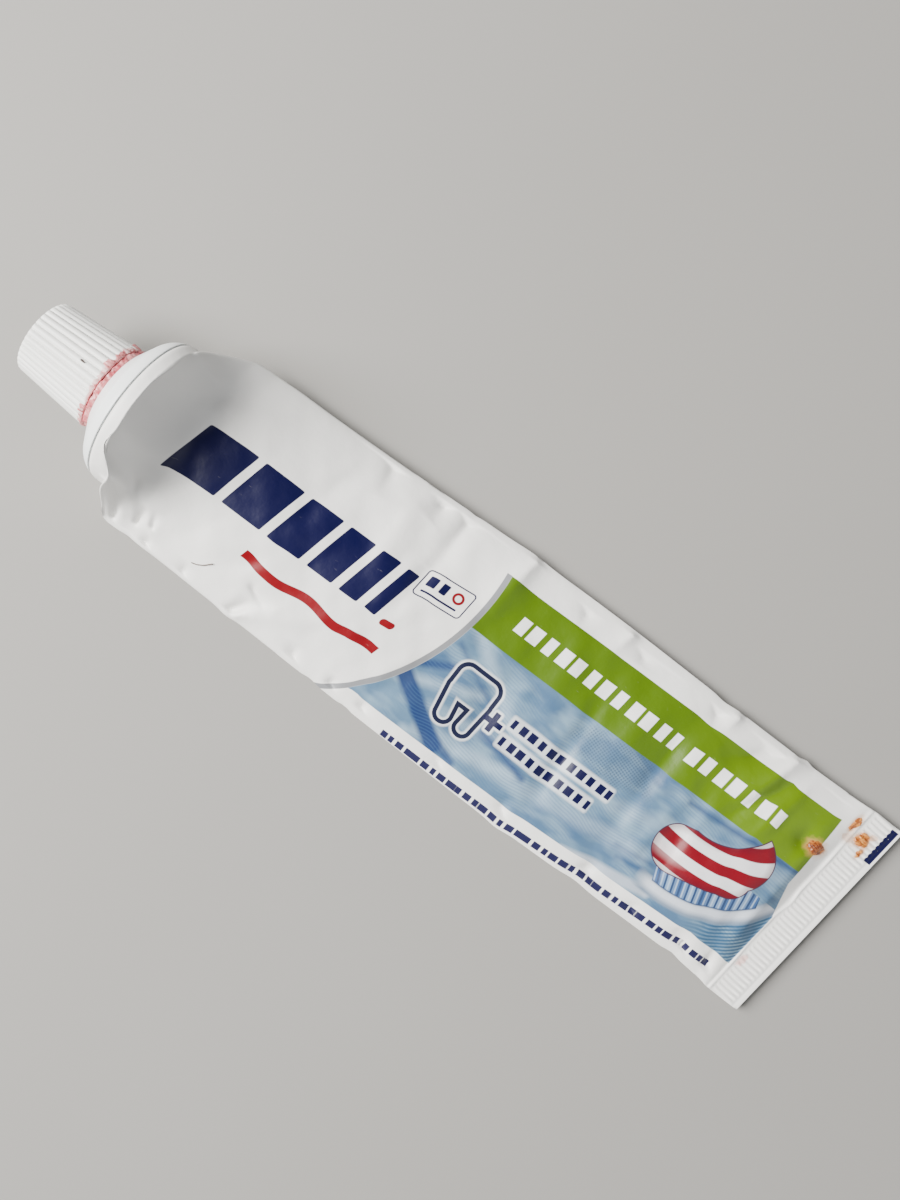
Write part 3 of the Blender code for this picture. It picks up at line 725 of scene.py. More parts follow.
def print_ground(art):
    """Blue field right of the arc, with pale beams, dark strokes, fine lines and a dot screen."""
    front = art.before_crimp()
    from_arc = length(art.u - ARC_CENTRE[0], art.v - ARC_CENTRE[1])
    after_start = art.u.above(ARC_START_U, art.SOFT)
    right_of_arc = from_arc.above(ARC_RADIUS, art.SOFT).least(after_start)
    field = art.over_blue_edge().above(BLUE_LOW, art.SOFT).least(art.v.below(6.0, 1.0)).least(front)
    field = field.least(right_of_arc)
    drift = art.noise(0.055, 3.0, (1.0, 2.2, 1.0), 24.0)
    colour = art.mix(drift.above(0.50, 0.30) * 0.75, PALE_BLUE, DEEP_BLUE)
    cloud = art.noise(0.10, 2.0, (1.0, 2.6, 1.0), -20.0)
    colour = art.mix(cloud.above(0.55, 0.2) * 0.55, colour, (0.22, 0.33, 0.41))
    beams = ((10.0, 0.5, 17.0, 1.3, -36.0, 0.55), (22.0, -9.0, 19.0, 1.0, 12.0, 0.40),
             (4.0, -8.0, 9.0, 0.9, 22.0, 0.60), (30.0, -14.0, 26.0, 1.6, 7.0, 0.45),
             (62.0, -2.0, 20.0, 1.4, 14.0, 0.35), (14.0, -16.5, 12.0, 0.7, 14.0, 0.50))
    for u, v, half_u, half_v, turn, strength in beams:
        colour = art.mix(art.bar(u, v, half_u, half_v, half_v, 0.0, turn, 1.8) * strength, colour,
                         (0.33, 0.44, 0.53))
    strokes = ((3.0, -14.2, 9.5, 1.7, -33.0, 0.95), (1.0, -5.2, 5.0, 0.8, 27.0, 0.80),
               (8.5, -17.0, 7.0, 1.0, -20.0, 0.80), (12.5, -4.5, 12.0, 0.45, -27.0, 0.55),
               (68.0, 3.9, 12.5, 0.45, 4.0, 0.80), (21.5, -11.6, 6.5, 0.7, -12.0, 0.75),
               (55.5, -11.4, 6.5, 0.35, 8.0, 0.50), (56.5, -13.0, 6.0, 0.25, 12.0, 0.45))
    for u, v, half_u, half_v, turn, strength in strokes:
        colour = art.mix(art.bar(u, v, half_u, half_v, half_v, 0.0, turn, 1.1) * strength, colour,
                         (0.012, 0.030, 0.105))
    wobble = art.wave(art.u, 11.0, 0.4) * 0.35 + art.wave(art.u, 23.0, 1.7) * 0.8
    lined = art.noise(0.09, 2.0, (1.0, 1.6, 1.0)).above(0.47, 0.08)
    lines = art.wave(art.v + wobble + art.u * 0.12, 0.62).above(0.2, 0.5).least(lined)
    colour = art.mix(lines * 0.28, colour, (0.045, 0.11, 0.22))
    screen = (art.wave(art.u + art.v * 0.5, 0.85) * art.wave(art.v - art.u * 0.5, 0.85)).above(0.15, 0.2)
    patch = length((art.u - 39.5) / 9.5, (art.v - 0.8) / 4.6) + (art.noise(0.35, 3.0) - 0.5) * 1.2
    colour = art.mix(patch.below(0.9, 0.4).least(screen) * 0.6, colour, (0.02, 0.04, 0.08))
    colour = art.mix(patch.below(0.9, 0.6) * 0.30, colour, (0.07, 0.12, 0.19))
    art.paint(field, colour)
    stroke = art.between(from_arc, ARC_RADIUS - ARC_STROKE, ARC_RADIUS)
    art.paint(stroke.least(art.v.below(BAND_HIGH + 0.1, art.SOFT)).least(after_start), GREY)
    return right_of_arc.least(front)


def print_band(art, right_of_arc):
    """Green band with a row of white dashes in two groups."""
    rise = art.u * BAND_RISE
    band = (art.v - rise).below(BAND_HIGH, art.SOFT).least((art.v - rise * 0.5).above(BAND_LOW, art.SOFT))
    shade = art.mix(art.noise(0.12, 2.0) * 0.35, GREEN, (0.05, 0.105, 0.0))
    shade = art.mix(art.u.above(60.0, 30.0) * 0.5, shade, (0.13, 0.22, 0.002))
    art.paint(band.least(right_of_arc), shade)
    for u0, u1, phase in ((8.7, 47.3, 2.85), (49.9, 72.0, 1.6)):
        art.paint(art.dashes(u0, u1, 10.75, 1.75, 3.4, phase, 0.12), WHITE)


def print_blocks(art):
    """Slanted navy bars that narrow to the right, over a red ripple, where a name would be."""
    u = BARS_START_U
    for width in BAR_WIDTHS:
        art.paint(art.bar(u + width / 2.0, 1.0, width / 2.0, 5.7, 0.35, 0.22), NAVY)
        u += width + BAR_GAP
    ripple = art.v - art.wave(art.u, 14.2, 0.6) * 0.55 + 10.6
    red_end = art.between(art.u - art.v * 0.3, -38.0, -7.0)
    art.paint(ripple.abs().below(0.95, art.SOFT).least(red_end), RED)
    art.paint(art.bar(-11.4, -4.6, 1.5, 0.75, 0.7, 0.3, 8.0), RED)


def print_badge(art):
    """Small outlined slanted box with two navy bars, a red ring and a thin line."""
    edge = art.from_box(-6.1, 6.7, 5.1, 2.9, 0.7, 0.16, 4.5)
    art.paint(edge.abs().below(0.14, 0.09), NAVY)
    art.paint(art.bar(-9.2, 7.2, 0.95, 1.15, 0.25, 0.16, 4.5), NAVY)
    art.paint(art.bar(-6.6, 7.4, 0.75, 1.15, 0.25, 0.16, 4.5), NAVY)
    art.paint(art.ring(-3.4, 7.5, 0.95, 0.28), RED)
    art.paint(art.bar(-6.4, 5.0, 3.9, 0.22, 0.1, 0.16, 4.5), NAVY)


def print_marks(art):
    """Rooted outline, plus sign and two rows of dashes, each in navy with a pale halo."""
    tooth = art.from_box(9.6, -4.9, 4.8, 3.9, 2.3)
    tooth = tooth.least(art.from_box(7.0, -9.2, 4.6, 1.75, 1.7, 0.0, -80.0))
    tooth = tooth.least(art.from_box(12.5, -9.2, 4.6, 1.65, 1.6, 0.0, 84.0)).abs()
    plus = art.from_box(16.3, -7.6, 2.1, 0.6, 0.1).least(art.from_box(16.3, -7.6, 0.6, 2.1, 0.1))
    halo = tooth.below(0.85, 0.5).most(plus.below(0.45, 0.4))
    art.paint(halo * 0.75, WHITE)
    for v, phase, stop in ((-5.4, 4.1, 43.0), (-9.5, 4.1, 40.7)):
        art.paint(art.bar((19.0 + stop) / 2.0, v, (stop - 18.6) / 2.0, 1.65, 0.5, soft=0.5) * 0.55, WHITE)
        art.paint(art.dashes(19.4, stop, v, 0.95, 2.3, phase, 0.05), NAVY)
    art.paint(tooth.below(0.46, art.SOFT), (0.006, 0.008, 0.03))
    art.paint(plus.below(0.0, art.SOFT), NAVY)


def print_brush(art):
    """Striped ribbon of paste on blue bristles over a pale curved brush head."""
    span = length(art.u - BRUSH_CENTRE[0], art.v - BRUSH_CENTRE[1])
    lower = art.v.below(-3.5, art.SOFT).least(art.before_crimp())
    lines = art.wave(span, 0.74).above(-0.1, 0.4).least(art.u.above(71.0, 5.0)).least(lower)
    over_edge = art.over_blue_edge()
    lines = lines.least(span.above(27.0, 0.6)).least(over_edge.above(BLUE_LOW + 0.1, art.SOFT))
    art.paint(lines * 0.85, (0.02, 0.07, 0.14))
    neck = art.bar(50.5, -18.1, 10.0, 1.1, 0.9, 0.0, 11.0, 0.9).least(over_edge.above(BLUE_LOW, art.SOFT))
    art.paint(neck * 0.9, (0.36, 0.41, 0.48))
    head = art.between(span, 23.6, 27.2, 0.5).least(lower).least(art.u.above(57.0, 3.0))
    art.paint(head, art.mix(art.between(span, 24.2, 26.2, 1.2), (0.16, 0.21, 0.28), (0.50, 0.54, 0.60)))
    bristles = art.between(span, 17.0, 24.3, 0.3).least(lower).least(
        art.between(art.u + art.v * 0.35, 54.2, 76.4))
    art.paint(bristles, (0.022, 0.045, 0.11))
    leaning = art.u + art.v * (art.u * -0.012 + 1.15)
    place = ((leaning / 1.75).part() - 0.5).abs()
    tone = art.wave(leaning, 5.6, 0.8) * 0.5 + 0.5
    tuft = place.below(0.36, 0.08).least(bristles).least(span.below(24.0, 0.3))
    art.paint(tuft, art.mix(tone, (0.035, 0.085, 0.21), (0.17, 0.27, 0.42)))
    art.paint(place.below(0.10, 0.10).least(tuft) * 0.6, (0.40, 0.50, 0.62))
    slug = art.from_box(64.4, -4.6, 10.2, 4.9, 4.8, 0.0, 13.0)
    curl = length(art.u - 69.7, art.v - 0.6) - 6.5
    hollow = length(art.u - 61.5, art.v - 11.5).less_from(12.1)
    paste = slug.least(curl).most(hollow)
    flow = length((art.u - 60.5) / 1.75, art.v - 8.6)
    stripe = art.wave(flow, 4.3, 1.2).above(0.0, 0.25)
    colour = art.mix(stripe, (0.70, 0.69, 0.70), (0.16, 0.001, 0.008))
    glint = length((art.u - 57.5) / 4.2, (art.v + 7.4) / 1.3).below(1.0, 0.9)
    colour = art.mix(glint * 0.30, colour, (0.70, 0.50, 0.50))
    colour = art.mix(paste.above(-0.9, 1.2) * 0.45, colour, (0.07, 0.004, 0.012))
    art.paint(paste.below(0.22, 0.12), (0.05, 0.015, 0.03))
    art.paint(paste.below(0.0, 0.12), colour)


def print_borders(art):
    """Row of thin navy dashes under the front, and the navy mark at the tail's long corner."""
    curve = art.v - art.u * art.u * 0.00038 - art.u * 0.0022
    row = (curve + 22.7).abs().below(0.72, 0.1).least(art.between(art.u, 0.2, 79.6))
    rhythm = art.wave(art.u, 2.05) + art.wave(art.u, 1.27, 1.0) * 0.6 + art.wave(art.u, 8.5, 2.0) * 0.35
    art.paint(rhythm.above(-0.75, 0.3).least(row), (0.012, 0.012, 0.05))
    fleck = art.noise(1.8, 2.0, (1.0, 0.5, 1.0)).above(0.75, 0.05)
    mark = art.between(art.u, 88.4, 89.9).least(art.between(art.v, 14.3, 22.45))
    art.paint(mark.least(fleck.less_from(1.0)), NAVY)


def print_back(art):
    """Plain back: two fine lines where the laminate's weld runs down its middle."""
    seam = art.v + FLAT_WIDTH / MM
    art.paint((seam - 0.9).abs().below(0.09, 0.12) * 0.55, (0.45, 0.45, 0.44))
    art.paint((seam + 0.9).abs().below(0.09, 0.12) * 0.35, (0.45, 0.45, 0.44))


def stain_sleeve(art):
    """Dried rust-coloured spots near the crimp, and pink traces by its low end."""
    wander = (art.noise(0.9, 4.0) - 0.5) * 1.1
    grain = art.noise(2.2, 3.0)
    deep, pale = (0.13, 0.022, 0.002), (0.40, 0.12, 0.015)
    spots = ((79.9, 10.7, 1.75, 1.55, 0.95, 0.0), (82.5, 19.0, 0.65, 1.75, 0.95, 0.0),
             (85.6, 17.1, 1.55, 1.6, 0.80, 1.0), (86.9, 14.9, 0.6, 1.3, 0.6, 0.6),
             (83.2, 15.9, 1.5, 1.0, 0.35, 0.8), (87.0, 18.9, 0.9, 0.6, 0.35, 1.0))
    for u, v, half_u, half_v, strength, paleness in spots:
        spot = length((art.u - u) / half_u, (art.v - v) / half_v) + wander
        tone = art.mix(grain.above(0.45, 0.2), deep, pale)
        tone = art.mix(paleness * 0.6, tone, (0.55, 0.24, 0.07))
        art.paint(spot.below(1.2, 0.75) * (strength * 0.65), (0.55, 0.26, 0.09))
        art.paint(spot.below(0.85, 0.25) * strength, tone)
    swirl = art.wave(length(art.u - 85.5, art.v - 17.3) + (art.u - 85.5) * 0.12, 0.62).above(0.2, 0.5)
    near = length(art.u - 85.5, art.v - 17.3).below(1.5, 0.3)
    art.paint(swirl.least(near) * 0.55, (0.52, 0.17, 0.035))
    pink = length((art.u - 84.5) / 1.0, (art.v + 15.0) / 1.6) + wander * 1.6
    art.paint(pink.below(0.75, 0.4) * 0.5, (0.62, 0.24, 0.20))


def laminate_material():
    """Glossy white laminate with its printed fields, stains, scuffs and fine crumpling."""
    material, tree, shader = new_material("printed_laminate_film")
    art = Print(tree)
    art.paint(art.noise(0.06, 2.0) * 0.5, (0.75, 0.74, 0.71))
    print_band(art, print_ground(art))
    print_blocks(art)
    print_badge(art)
    print_marks(art)
    print_brush(art)
    print_borders(art)
    print_back(art)
    scuff = art.noise(0.9, 6.0, stretch=(0.5, 1.6, 1.0)).above(0.72, 0.05)
    art.paint(scuff * 0.12, (0.42, 0.40, 0.37))
    speck = art.noise(2.6, 2.0).above(0.80, 0.03)
    art.paint(speck * 0.4, (0.12, 0.10, 0.09))
    stain_sleeve(art)
    crumple = bump(tree, art.noise(0.28, 3.0), 0.22 * MM, 0.55)
    set_inputs(shader, Base_Color=art.colour, Roughness=art.noise(0.35, 4.0) * 0.14 + 0.34,
               Normal=bump(tree, art.noise(2.4, 3.0), 0.02 * MM, 0.5, crumple),
               Coat_Weight=0.04, Coat_Roughness=0.22, Specular_IOR_Level=0.28)
    return material


def floor_material():
    """Pale matt surface with a faint unevenness."""
    material, tree, shader = new_material("pale_floor")
    colour = blend_colour(tree, noise(tree, 9.0, 2.0), (0.245, 0.237, 0.222), (0.27, 0.262, 0.247))
    set_inputs(shader, Base_Color=colour, Roughness=0.75)
    return material


# ---------------------------------------------------------------------------------------
# Pieces


class Sheet:
    """Outer skin of the sleeve as a grid that can be asked for the place of any print point."""

    def __init__(self, along, rings):
        self.along = along / MM
        self.rings = rings

    def at(self, u, v, lift):
        """Points at print places u and v, in millimetres, raised by lift."""
        row = np.interp(u, self.along, np.arange(len(self.along)))
        column = (0.5 - v * MM / FLAT_WIDTH) * SHEET_COLUMNS
        i, j = np.floor(row).astype(int), np.floor(column).astype(int)
        s, t = (row - i)[..., None], (column - j)[..., None]
        near, far = self.rings[i], self.rings[i + 1]
        index = np.indices(j.shape)
        a, b = near[(*index, j)], near[(*index, j + 1)]
        c, d = far[(*index, j)], far[(*index, j + 1)]
        points = (a * (1.0 - t) + b * t) * (1.0 - s) + (c * (1.0 - t) + d * t) * s
        points[..., 2] += lift
        return points


def make_sleeve():
    """One closed shell: outer rings from the tail to the lip, then inner rings back."""
    flare = RIDGE_X + np.array((0.0, 0.12, 0.25, 0.4, 0.55, 0.7, 0.9, 1.1, 1.35, 1.6, 1.9, 2.2)) * MM
    head = np.linspace(RIDGE_X + 2.55 * MM, HEAD_END_X, 25)
    body = crowded_rows(HEAD_END_X, BODY_END_X, 147)[1:]
    tail = np.linspace(BODY_END_X, CRIMP_X - 0.9 * MM, 10)[1:]
    crimp = CRIMP_X + np.array((-0.6, -0.4, -0.2, 0.0, 0.2, 0.4, 0.6, 0.85, 1.1, 1.35, 3.2, 5.25, 5.5,
                                6.0, 6.2, 6.4, 7.2)) * MM
    outer_x = np.concatenate((flare, head, body, tail, crimp))
    inner_x = np.concatenate((flare[::2], np.linspace(-65.0, -56.0, 16) * MM,
                              np.linspace(-54.5, -24.5, 21) * MM, np.linspace(-14.0 * MM, POCKET_END_X, 10)))
    lip_x, lip_r = corner_arc(0.0, LIP_ANGLE, 0.0, 5)
    bare_x, bare_r = corner_arc(WALL, LIP_ANGLE, 0.0, 3)
    lip_r = lip_r - 0.22 * MM * np.linspace(1.0, 0.0, 6) ** 6
    lip_x = np.concatenate((lip_x, RIDGE_X - np.array((0.6, 0.3, 0.12)) * MM))
    lip_r = np.concatenate((lip_r, np.full(3, TUBE_RADIUS)))
    columns = 2 * SHEET_COLUMNS
    skin = crimp_teeth(sleeve_rows(outer_x, 0.0), outer_x)
    outer = np.concatenate((round_rings(lip_x, lip_r, columns), skin))[::-1]
    inner = np.concatenate((round_rings(bare_x, bare_r, columns), sleeve_rows(inner_x, WALL)))
    points = np.concatenate((outer, inner))
    along = np.concatenate((lip_x, outer_x))[::-1]
    along = np.concatenate((along, 10.0 + np.concatenate((bare_x, inner_x))))
    rows = len(points)
    faces = np.concatenate((ring_faces(rows, columns), slit_faces(0, columns, True),
                            slit_faces((rows - 1) * columns, columns, False)))
    girth = (FLAT_WIDTH / 2.0 - FLAT_WIDTH * np.arange(columns + 1) / SHEET_COLUMNS)
    i, j = np.meshgrid(np.arange(rows - 1), np.arange(columns), indexing="ij")
    corner_u = np.stack((along[i], along[i], along[i + 1], along[i + 1]), axis=-1)
    corner_v = np.stack((girth[j], girth[j + 1], girth[j + 1], girth[j]), axis=-1)
    uv = np.stack((corner_u, corner_v), axis=-1).reshape(-1, 4, 2) * 10.0
    ends = len(faces) - len(uv)
    end_uv = np.tile(np.array((TAIL_X * 10.0, -5.0)), (ends, 4, 1))
    uv = np.concatenate((uv, end_uv))
    sleeve = add_piece("sleeve_skin", points.reshape(-1, 3), faces, laminate_material(), uv, 85.0)
    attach(sleeve, "tube")
    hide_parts("tube_sleeve")
    return Sheet(outer_x, skin)


def make_lump(name, sheet, u, v, half_u, half_v, turn, height, material):
    """Dried spot that hugs the sleeve: a closed cushion over a ragged ellipse.

    A ring at share s of the outline stands height * (1 - s squared) off the skin, roughened
    by waves, and the underside lies just inside it.
    """
    count, steps = 48, 10
    around = even_turns(count)
    share = np.linspace(0.0, 1.0, steps + 1)[1:, None]
    ragged = (1.0 + 0.13 * np.sin(around * 3.0 + u) + 0.09 * np.sin(around * 5.0 + v)
              + 0.06 * np.sin(around * 11.0))
    du, dv = half_u * share * ragged * np.cos(around), half_v * share * ragged * np.sin(around)
    c, s = math.cos(math.radians(turn)), math.sin(math.radians(turn))
    pu, pv = u + du * c - dv * s, v + du * s + dv * c
    rough = 0.75 + 0.25 * np.sin(pu * 9.0 + pv * 4.0) * np.sin(pv * 8.0 - pu * 3.0 + 1.0)
    over = sheet.at(pu, pv, MM * (height * (1.0 - share ** 2) ** 0.6 * rough - 0.02))
    under = sheet.at(pu, pv, np.full_like(pu, -0.1 * MM))
    centre_u, centre_v = np.array([u]), np.array([v])
    tops = sheet.at(centre_u, centre_v, np.array([MM * height * 0.9]))
    base = sheet.at(centre_u, centre_v, np.array([-0.1 * MM]))
    rings = np.concatenate((over, under[::-1]))
    points = np.concatenate((rings.reshape(-1, 3), tops, base))
    lump = add_piece(name, points, capped_faces(2 * steps, count), material, sharp=80.0)
    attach(lump, "tube")


def make_stains(sheet):
    """Rust-brown dried spots by the crimp, raised a little off the laminate."""
    brown = paste_material("dried_brown_spots", (0.33, 0.09, 0.014), (0.09, 0.012, 0.002), 0.4, 1500.0)
    amber = paste_material("dried_amber_spots", (0.58, 0.24, 0.05), (0.30, 0.075, 0.008), 0.35, 1300.0)
    spots = (("spot_before_crimp", 79.9, 10.7, 1.3, 1.2, 0.0, 0.36, brown),
             ("spot_on_fold", 82.5, 19.0, 0.55, 1.6, -8.0, 0.30, amber),
             ("spot_on_ribs", 85.5, 17.2, 1.35, 1.45, 20.0, 0.32, amber),
             ("spot_low", 86.8, 14.8, 0.5, 0.9, 0.0, 0.22, amber))
    for name, u, v, half_u, half_v, turn, height, material in spots:
        make_lump(name, sheet, u, v, half_u, half_v, turn, height, material)


def make_hair(sheet):
    """Short bent hair stuck to the sleeve: a thin round thread along a smooth path."""
    rows, columns = 40, 8
    share = np.linspace(0.0, 1.0, rows)
    marks = np.array((0.0, 0.28, 0.6, 1.0))
    u = np.interp(share, marks, (-48.4, -47.2, -46.0, -44.4))
    v = np.interp(share, marks, (-18.6, -18.2, -17.4, -15.6))
    blur = np.ones(7) / 7.0
    u = np.convolve(np.pad(u, 3, mode="edge"), blur, mode="valid")
    v = np.convolve(np.pad(v, 3, mode="edge"), blur, mode="valid")
    path = sheet.at(u, v, 0.08 * MM + 0.25 * MM * share ** 2)
    ahead = np.gradient(path, axis=0)
    ahead /= np.linalg.norm(ahead, axis=1)[:, None]
    aside = np.cross(ahead, (0.0, 0.0, 1.0))
    aside /= np.linalg.norm(aside, axis=1)[:, None]
    above = np.cross(aside, ahead)
    radius = 0.11 * MM * np.clip(np.minimum(share, 1.0 - share) * 12.0 + 0.15, 0.0, 1.0)[:, None]
    turn = even_turns(columns)[:, :, None]
    rings = path[:, None, :] + radius[:, None, :] * (np.cos(turn) * aside[:, None, :]
                                                     + np.sin(turn) * above[:, None, :])
    points = np.concatenate((rings.reshape(-1, 3), path[:1], path[-1:]))
    material, tree, shader = new_material("dark_hair")
    colour = blend_colour(tree, noise(tree, 900.0), (0.035, 0.02, 0.014), (0.10, 0.06, 0.04))
    set_inputs(shader, Base_Color=colour, Roughness=0.4)
    hair = add_piece("stray_hair", points, capped_faces(rows, columns), material, sharp=80.0)
    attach(hair, "tube")


def cap_ribs(r, turn):
    """Radius change of the cap's outside: rounded ribs, |sin| to the 0.6, with narrow grooves
    between them, fading out between the outer wall and the bore."""
    share = np.clip((r - CAP_BORE_RADIUS - 0.2 * MM) / (0.3 * MM), 0.0, 1.0)
    wave = np.abs(np.sin(turn * CAP_RIBS / 2.0)) ** 0.6
    return -CAP_RIB_DEPTH * share * (1.0 - wave)


def make_rim_smear():
    """Paste dried on the cap's rim: a ring of ragged width, sunk into the wall where it is bare."""
    columns, rows = 540, 16
    turn, around = even_turns(columns), even_turns(rows).T
    wide = (0.55 + 0.45 * np.sin(turn * 2.0 + 0.9) + 0.35 * np.sin(turn * 5.0 + 2.0)
            + 0.28 * np.sin(turn * 11.0 + 0.5) + 0.22 * np.sin(turn * 23.0)
            + 0.15 * np.sin(turn * 41.0 + 1.0))
    wide = np.clip(wide * 1.25 + 0.25, 0.2, 2.4)
    thick = (0.12 + 0.10 * np.sin(turn * 7.0 + 1.0) + 0.08 * np.sin(turn * 17.0)
             + 0.05 * np.sin(turn * 37.0))
    half_x = wide / 2.0 * MM
    x = CAP_RIM_X + 0.12 * MM - half_x + half_x * np.sign(np.sin(around)) * np.abs(np.sin(around)) ** 0.6
    grown = 0.06 * np.sin(around * 3.0 + turn * 60.0)
    r = CAP_RIM_RADIUS - 0.35 * MM + (0.25 + np.maximum(thick, -0.1) + grown) * MM * np.cos(around)
    r = r + cap_ribs(r, turn) * 0.5
    points = about_axis(x, r, turn).reshape(-1, 3)
    material = paste_material("rim_pink_paste", (0.64, 0.27, 0.27), (0.42, 0.09, 0.10), 0.42, 800.0)
    smear = add_piece("rim_smear", points, torus_faces(rows, columns), material, sharp=80.0)
    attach(smear, "cap")


def make_cap():
    """Ribbed skirt with a flat end, a threaded bore and a seal pin."""
    thickness = 2.0 * MM
    pin = 2.1 * MM
    inner_x = CAP_END_X + thickness
    pin_tip = inner_x + 3.4 * MM
    thread_height = 0.42 * MM
    corners = [
        (CAP_END_X, 0.0),
        (CAP_END_X, CAP_END_RADIUS - 0.65 * MM),
        (CAP_END_X + 0.08 * MM, CAP_END_RADIUS - 0.25 * MM),
        (CAP_END_X + 0.3 * MM, CAP_END_RADIUS - 0.05 * MM),
        (CAP_END_X + 0.8 * MM, CAP_END_RADIUS),
        (CAP_RIM_X - 0.3 * MM, CAP_RIM_RADIUS),
        (CAP_RIM_X - 0.1 * MM, CAP_RIM_RADIUS - 0.05 * MM),
        (CAP_RIM_X, CAP_RIM_RADIUS - 0.25 * MM),
        (CAP_RIM_X, CAP_BORE_RADIUS + 0.3 * MM),
        (CAP_RIM_X - 0.4 * MM, CAP_BORE_RADIUS),
        (inner_x, CAP_BORE_RADIUS),
        (inner_x, pin),
        (pin_tip - 0.4 * MM, pin),
        (pin_tip, pin - 0.4 * MM),
        (pin_tip, 0.0),
    ]
    x, r = stepped_profile(corners, 0.45 * MM)

    def shift(px, pr, turn):
        thread = screw_ridge(px, turn, CAP_RIM_X - 9.5 * MM, CAP_RIM_X - 2.0 * MM, 0.5)
        inside = (np.abs(pr - CAP_BORE_RADIUS) < 1e-9).astype(float)
        return cap_ribs(pr, turn) - thread_height * thread * inside

    cap = turned_piece("cap_ribbed", x, r, 8 * CAP_RIBS, cap_material(), shift, closed=False)
    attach(cap, "cap")
    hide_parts("cap")
    return cap


def screw_ridge(x, turn, start, stop, phase):
    """Height of a screw ridge between 0 and 1: a rounded rise once a pitch, wound round the
    axis and faded out at both ends."""
    pitch = 3.0 * MM
    place = ((x - start) / pitch - turn / TURN + phase) % 1.0
    rise = np.clip(1.4 - np.abs(place - 0.5) * 6.0, 0.0, 1.0)
    ends = np.clip((x - start) / (0.6 * MM), 0.0, 1.0) * np.clip((stop - x) / (0.6 * MM), 0.0, 1.0)
    return rise * ends


def make_shoulder():
    """Threaded neck, domed shoulder, rebate under the laminate's lip, and skirt, one moulding."""
    bore = 3.9 * MM
    wall = 1.2 * MM
    thread_height = 0.6 * MM
    gap = WALL + 0.3 * MM
    covered = LIP_ANGLE + GROOVE_ANGLE
    dome_x, dome_r = corner_arc(0.0, DOME_ANGLE, covered, 24)
    rebate_x, rebate_r = corner_arc(gap, covered, 0.0, 3)
    inside_x, inside_r = corner_arc(gap + wall, 0.0, DOME_ANGLE, 8)
    skirt_end = RIDGE_X - 0.1 * MM
    corners = [
        (MOUTH_X, bore),
        (MOUTH_X, NECK_RADIUS - 0.6 * MM),
        (MOUTH_X + 0.2 * MM, NECK_RADIUS - 0.15 * MM),
        (MOUTH_X + 0.5 * MM, NECK_RADIUS),
        (NECK_FOOT_X - 0.2 * MM, NECK_RADIUS),
        (NECK_FOOT_X, NECK_RADIUS + 0.2 * MM),
        (NECK_FOOT_X, FACE_RADIUS - 0.3 * MM),
        (NECK_FOOT_X + 0.15 * MM, FACE_RADIUS),
        *zip(dome_x, dome_r),
        *zip(rebate_x, rebate_r),
        (skirt_end, rebate_r[-1]),
        (skirt_end, inside_r[0]),
        *zip(inside_x, inside_r),
        (NECK_FOOT_X + wall, FACE_RADIUS - 1.7 * MM),
        (NECK_FOOT_X + wall, bore),
    ]
    x, r = stepped_profile(corners + corners[:1], 0.3 * MM)
    x, r = x[:-1], r[:-1]

    def shift(px, pr, turn):
        thread = screw_ridge(px, turn, MOUTH_X + 1.2 * MM, MOUTH_X + 9.0 * MM, 0.0)
        on_neck = (np.abs(pr - NECK_RADIUS) < 1e-9).astype(float)
        return thread_height * thread * on_neck

    material, _tree, _shader, _base = moulded_plastic(
        "shoulder_white_plastic", (0.80, 0.83, 0.83), 0.34, (0.75, 0.55, 0.52), 0.72)
    shoulder = turned_piece("shoulder_neck", x, r, 160, material, shift, closed=True)
    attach(shoulder, "tube")
    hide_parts("shoulder_nozzle")
    return shoulder


def dress_cad_nodes():
    """Procedural finishes for the nodes kept as they are, inside the tube and neck."""
    insert, _tree, _shader, _base = moulded_plastic(
        "insert_plastic_film", (0.78, 0.79, 0.78), 0.4, (0.62, 0.12, 0.16), 0.62)
    finishes = {
        "stripe_insert": insert,
        "leftover_paste": paste_material("white_paste_wet", (0.82, 0.83, 0.82), (0.74, 0.76, 0.75), 0.3),
        "stripe_paste": paste_material("red_paste_wet", (0.50, 0.04, 0.07), (0.36, 0.02, 0.04), 0.3),
    }
    for node, material in finishes.items():
        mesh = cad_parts[node].data
        mesh.materials.clear()
        mesh.materials.append(material)


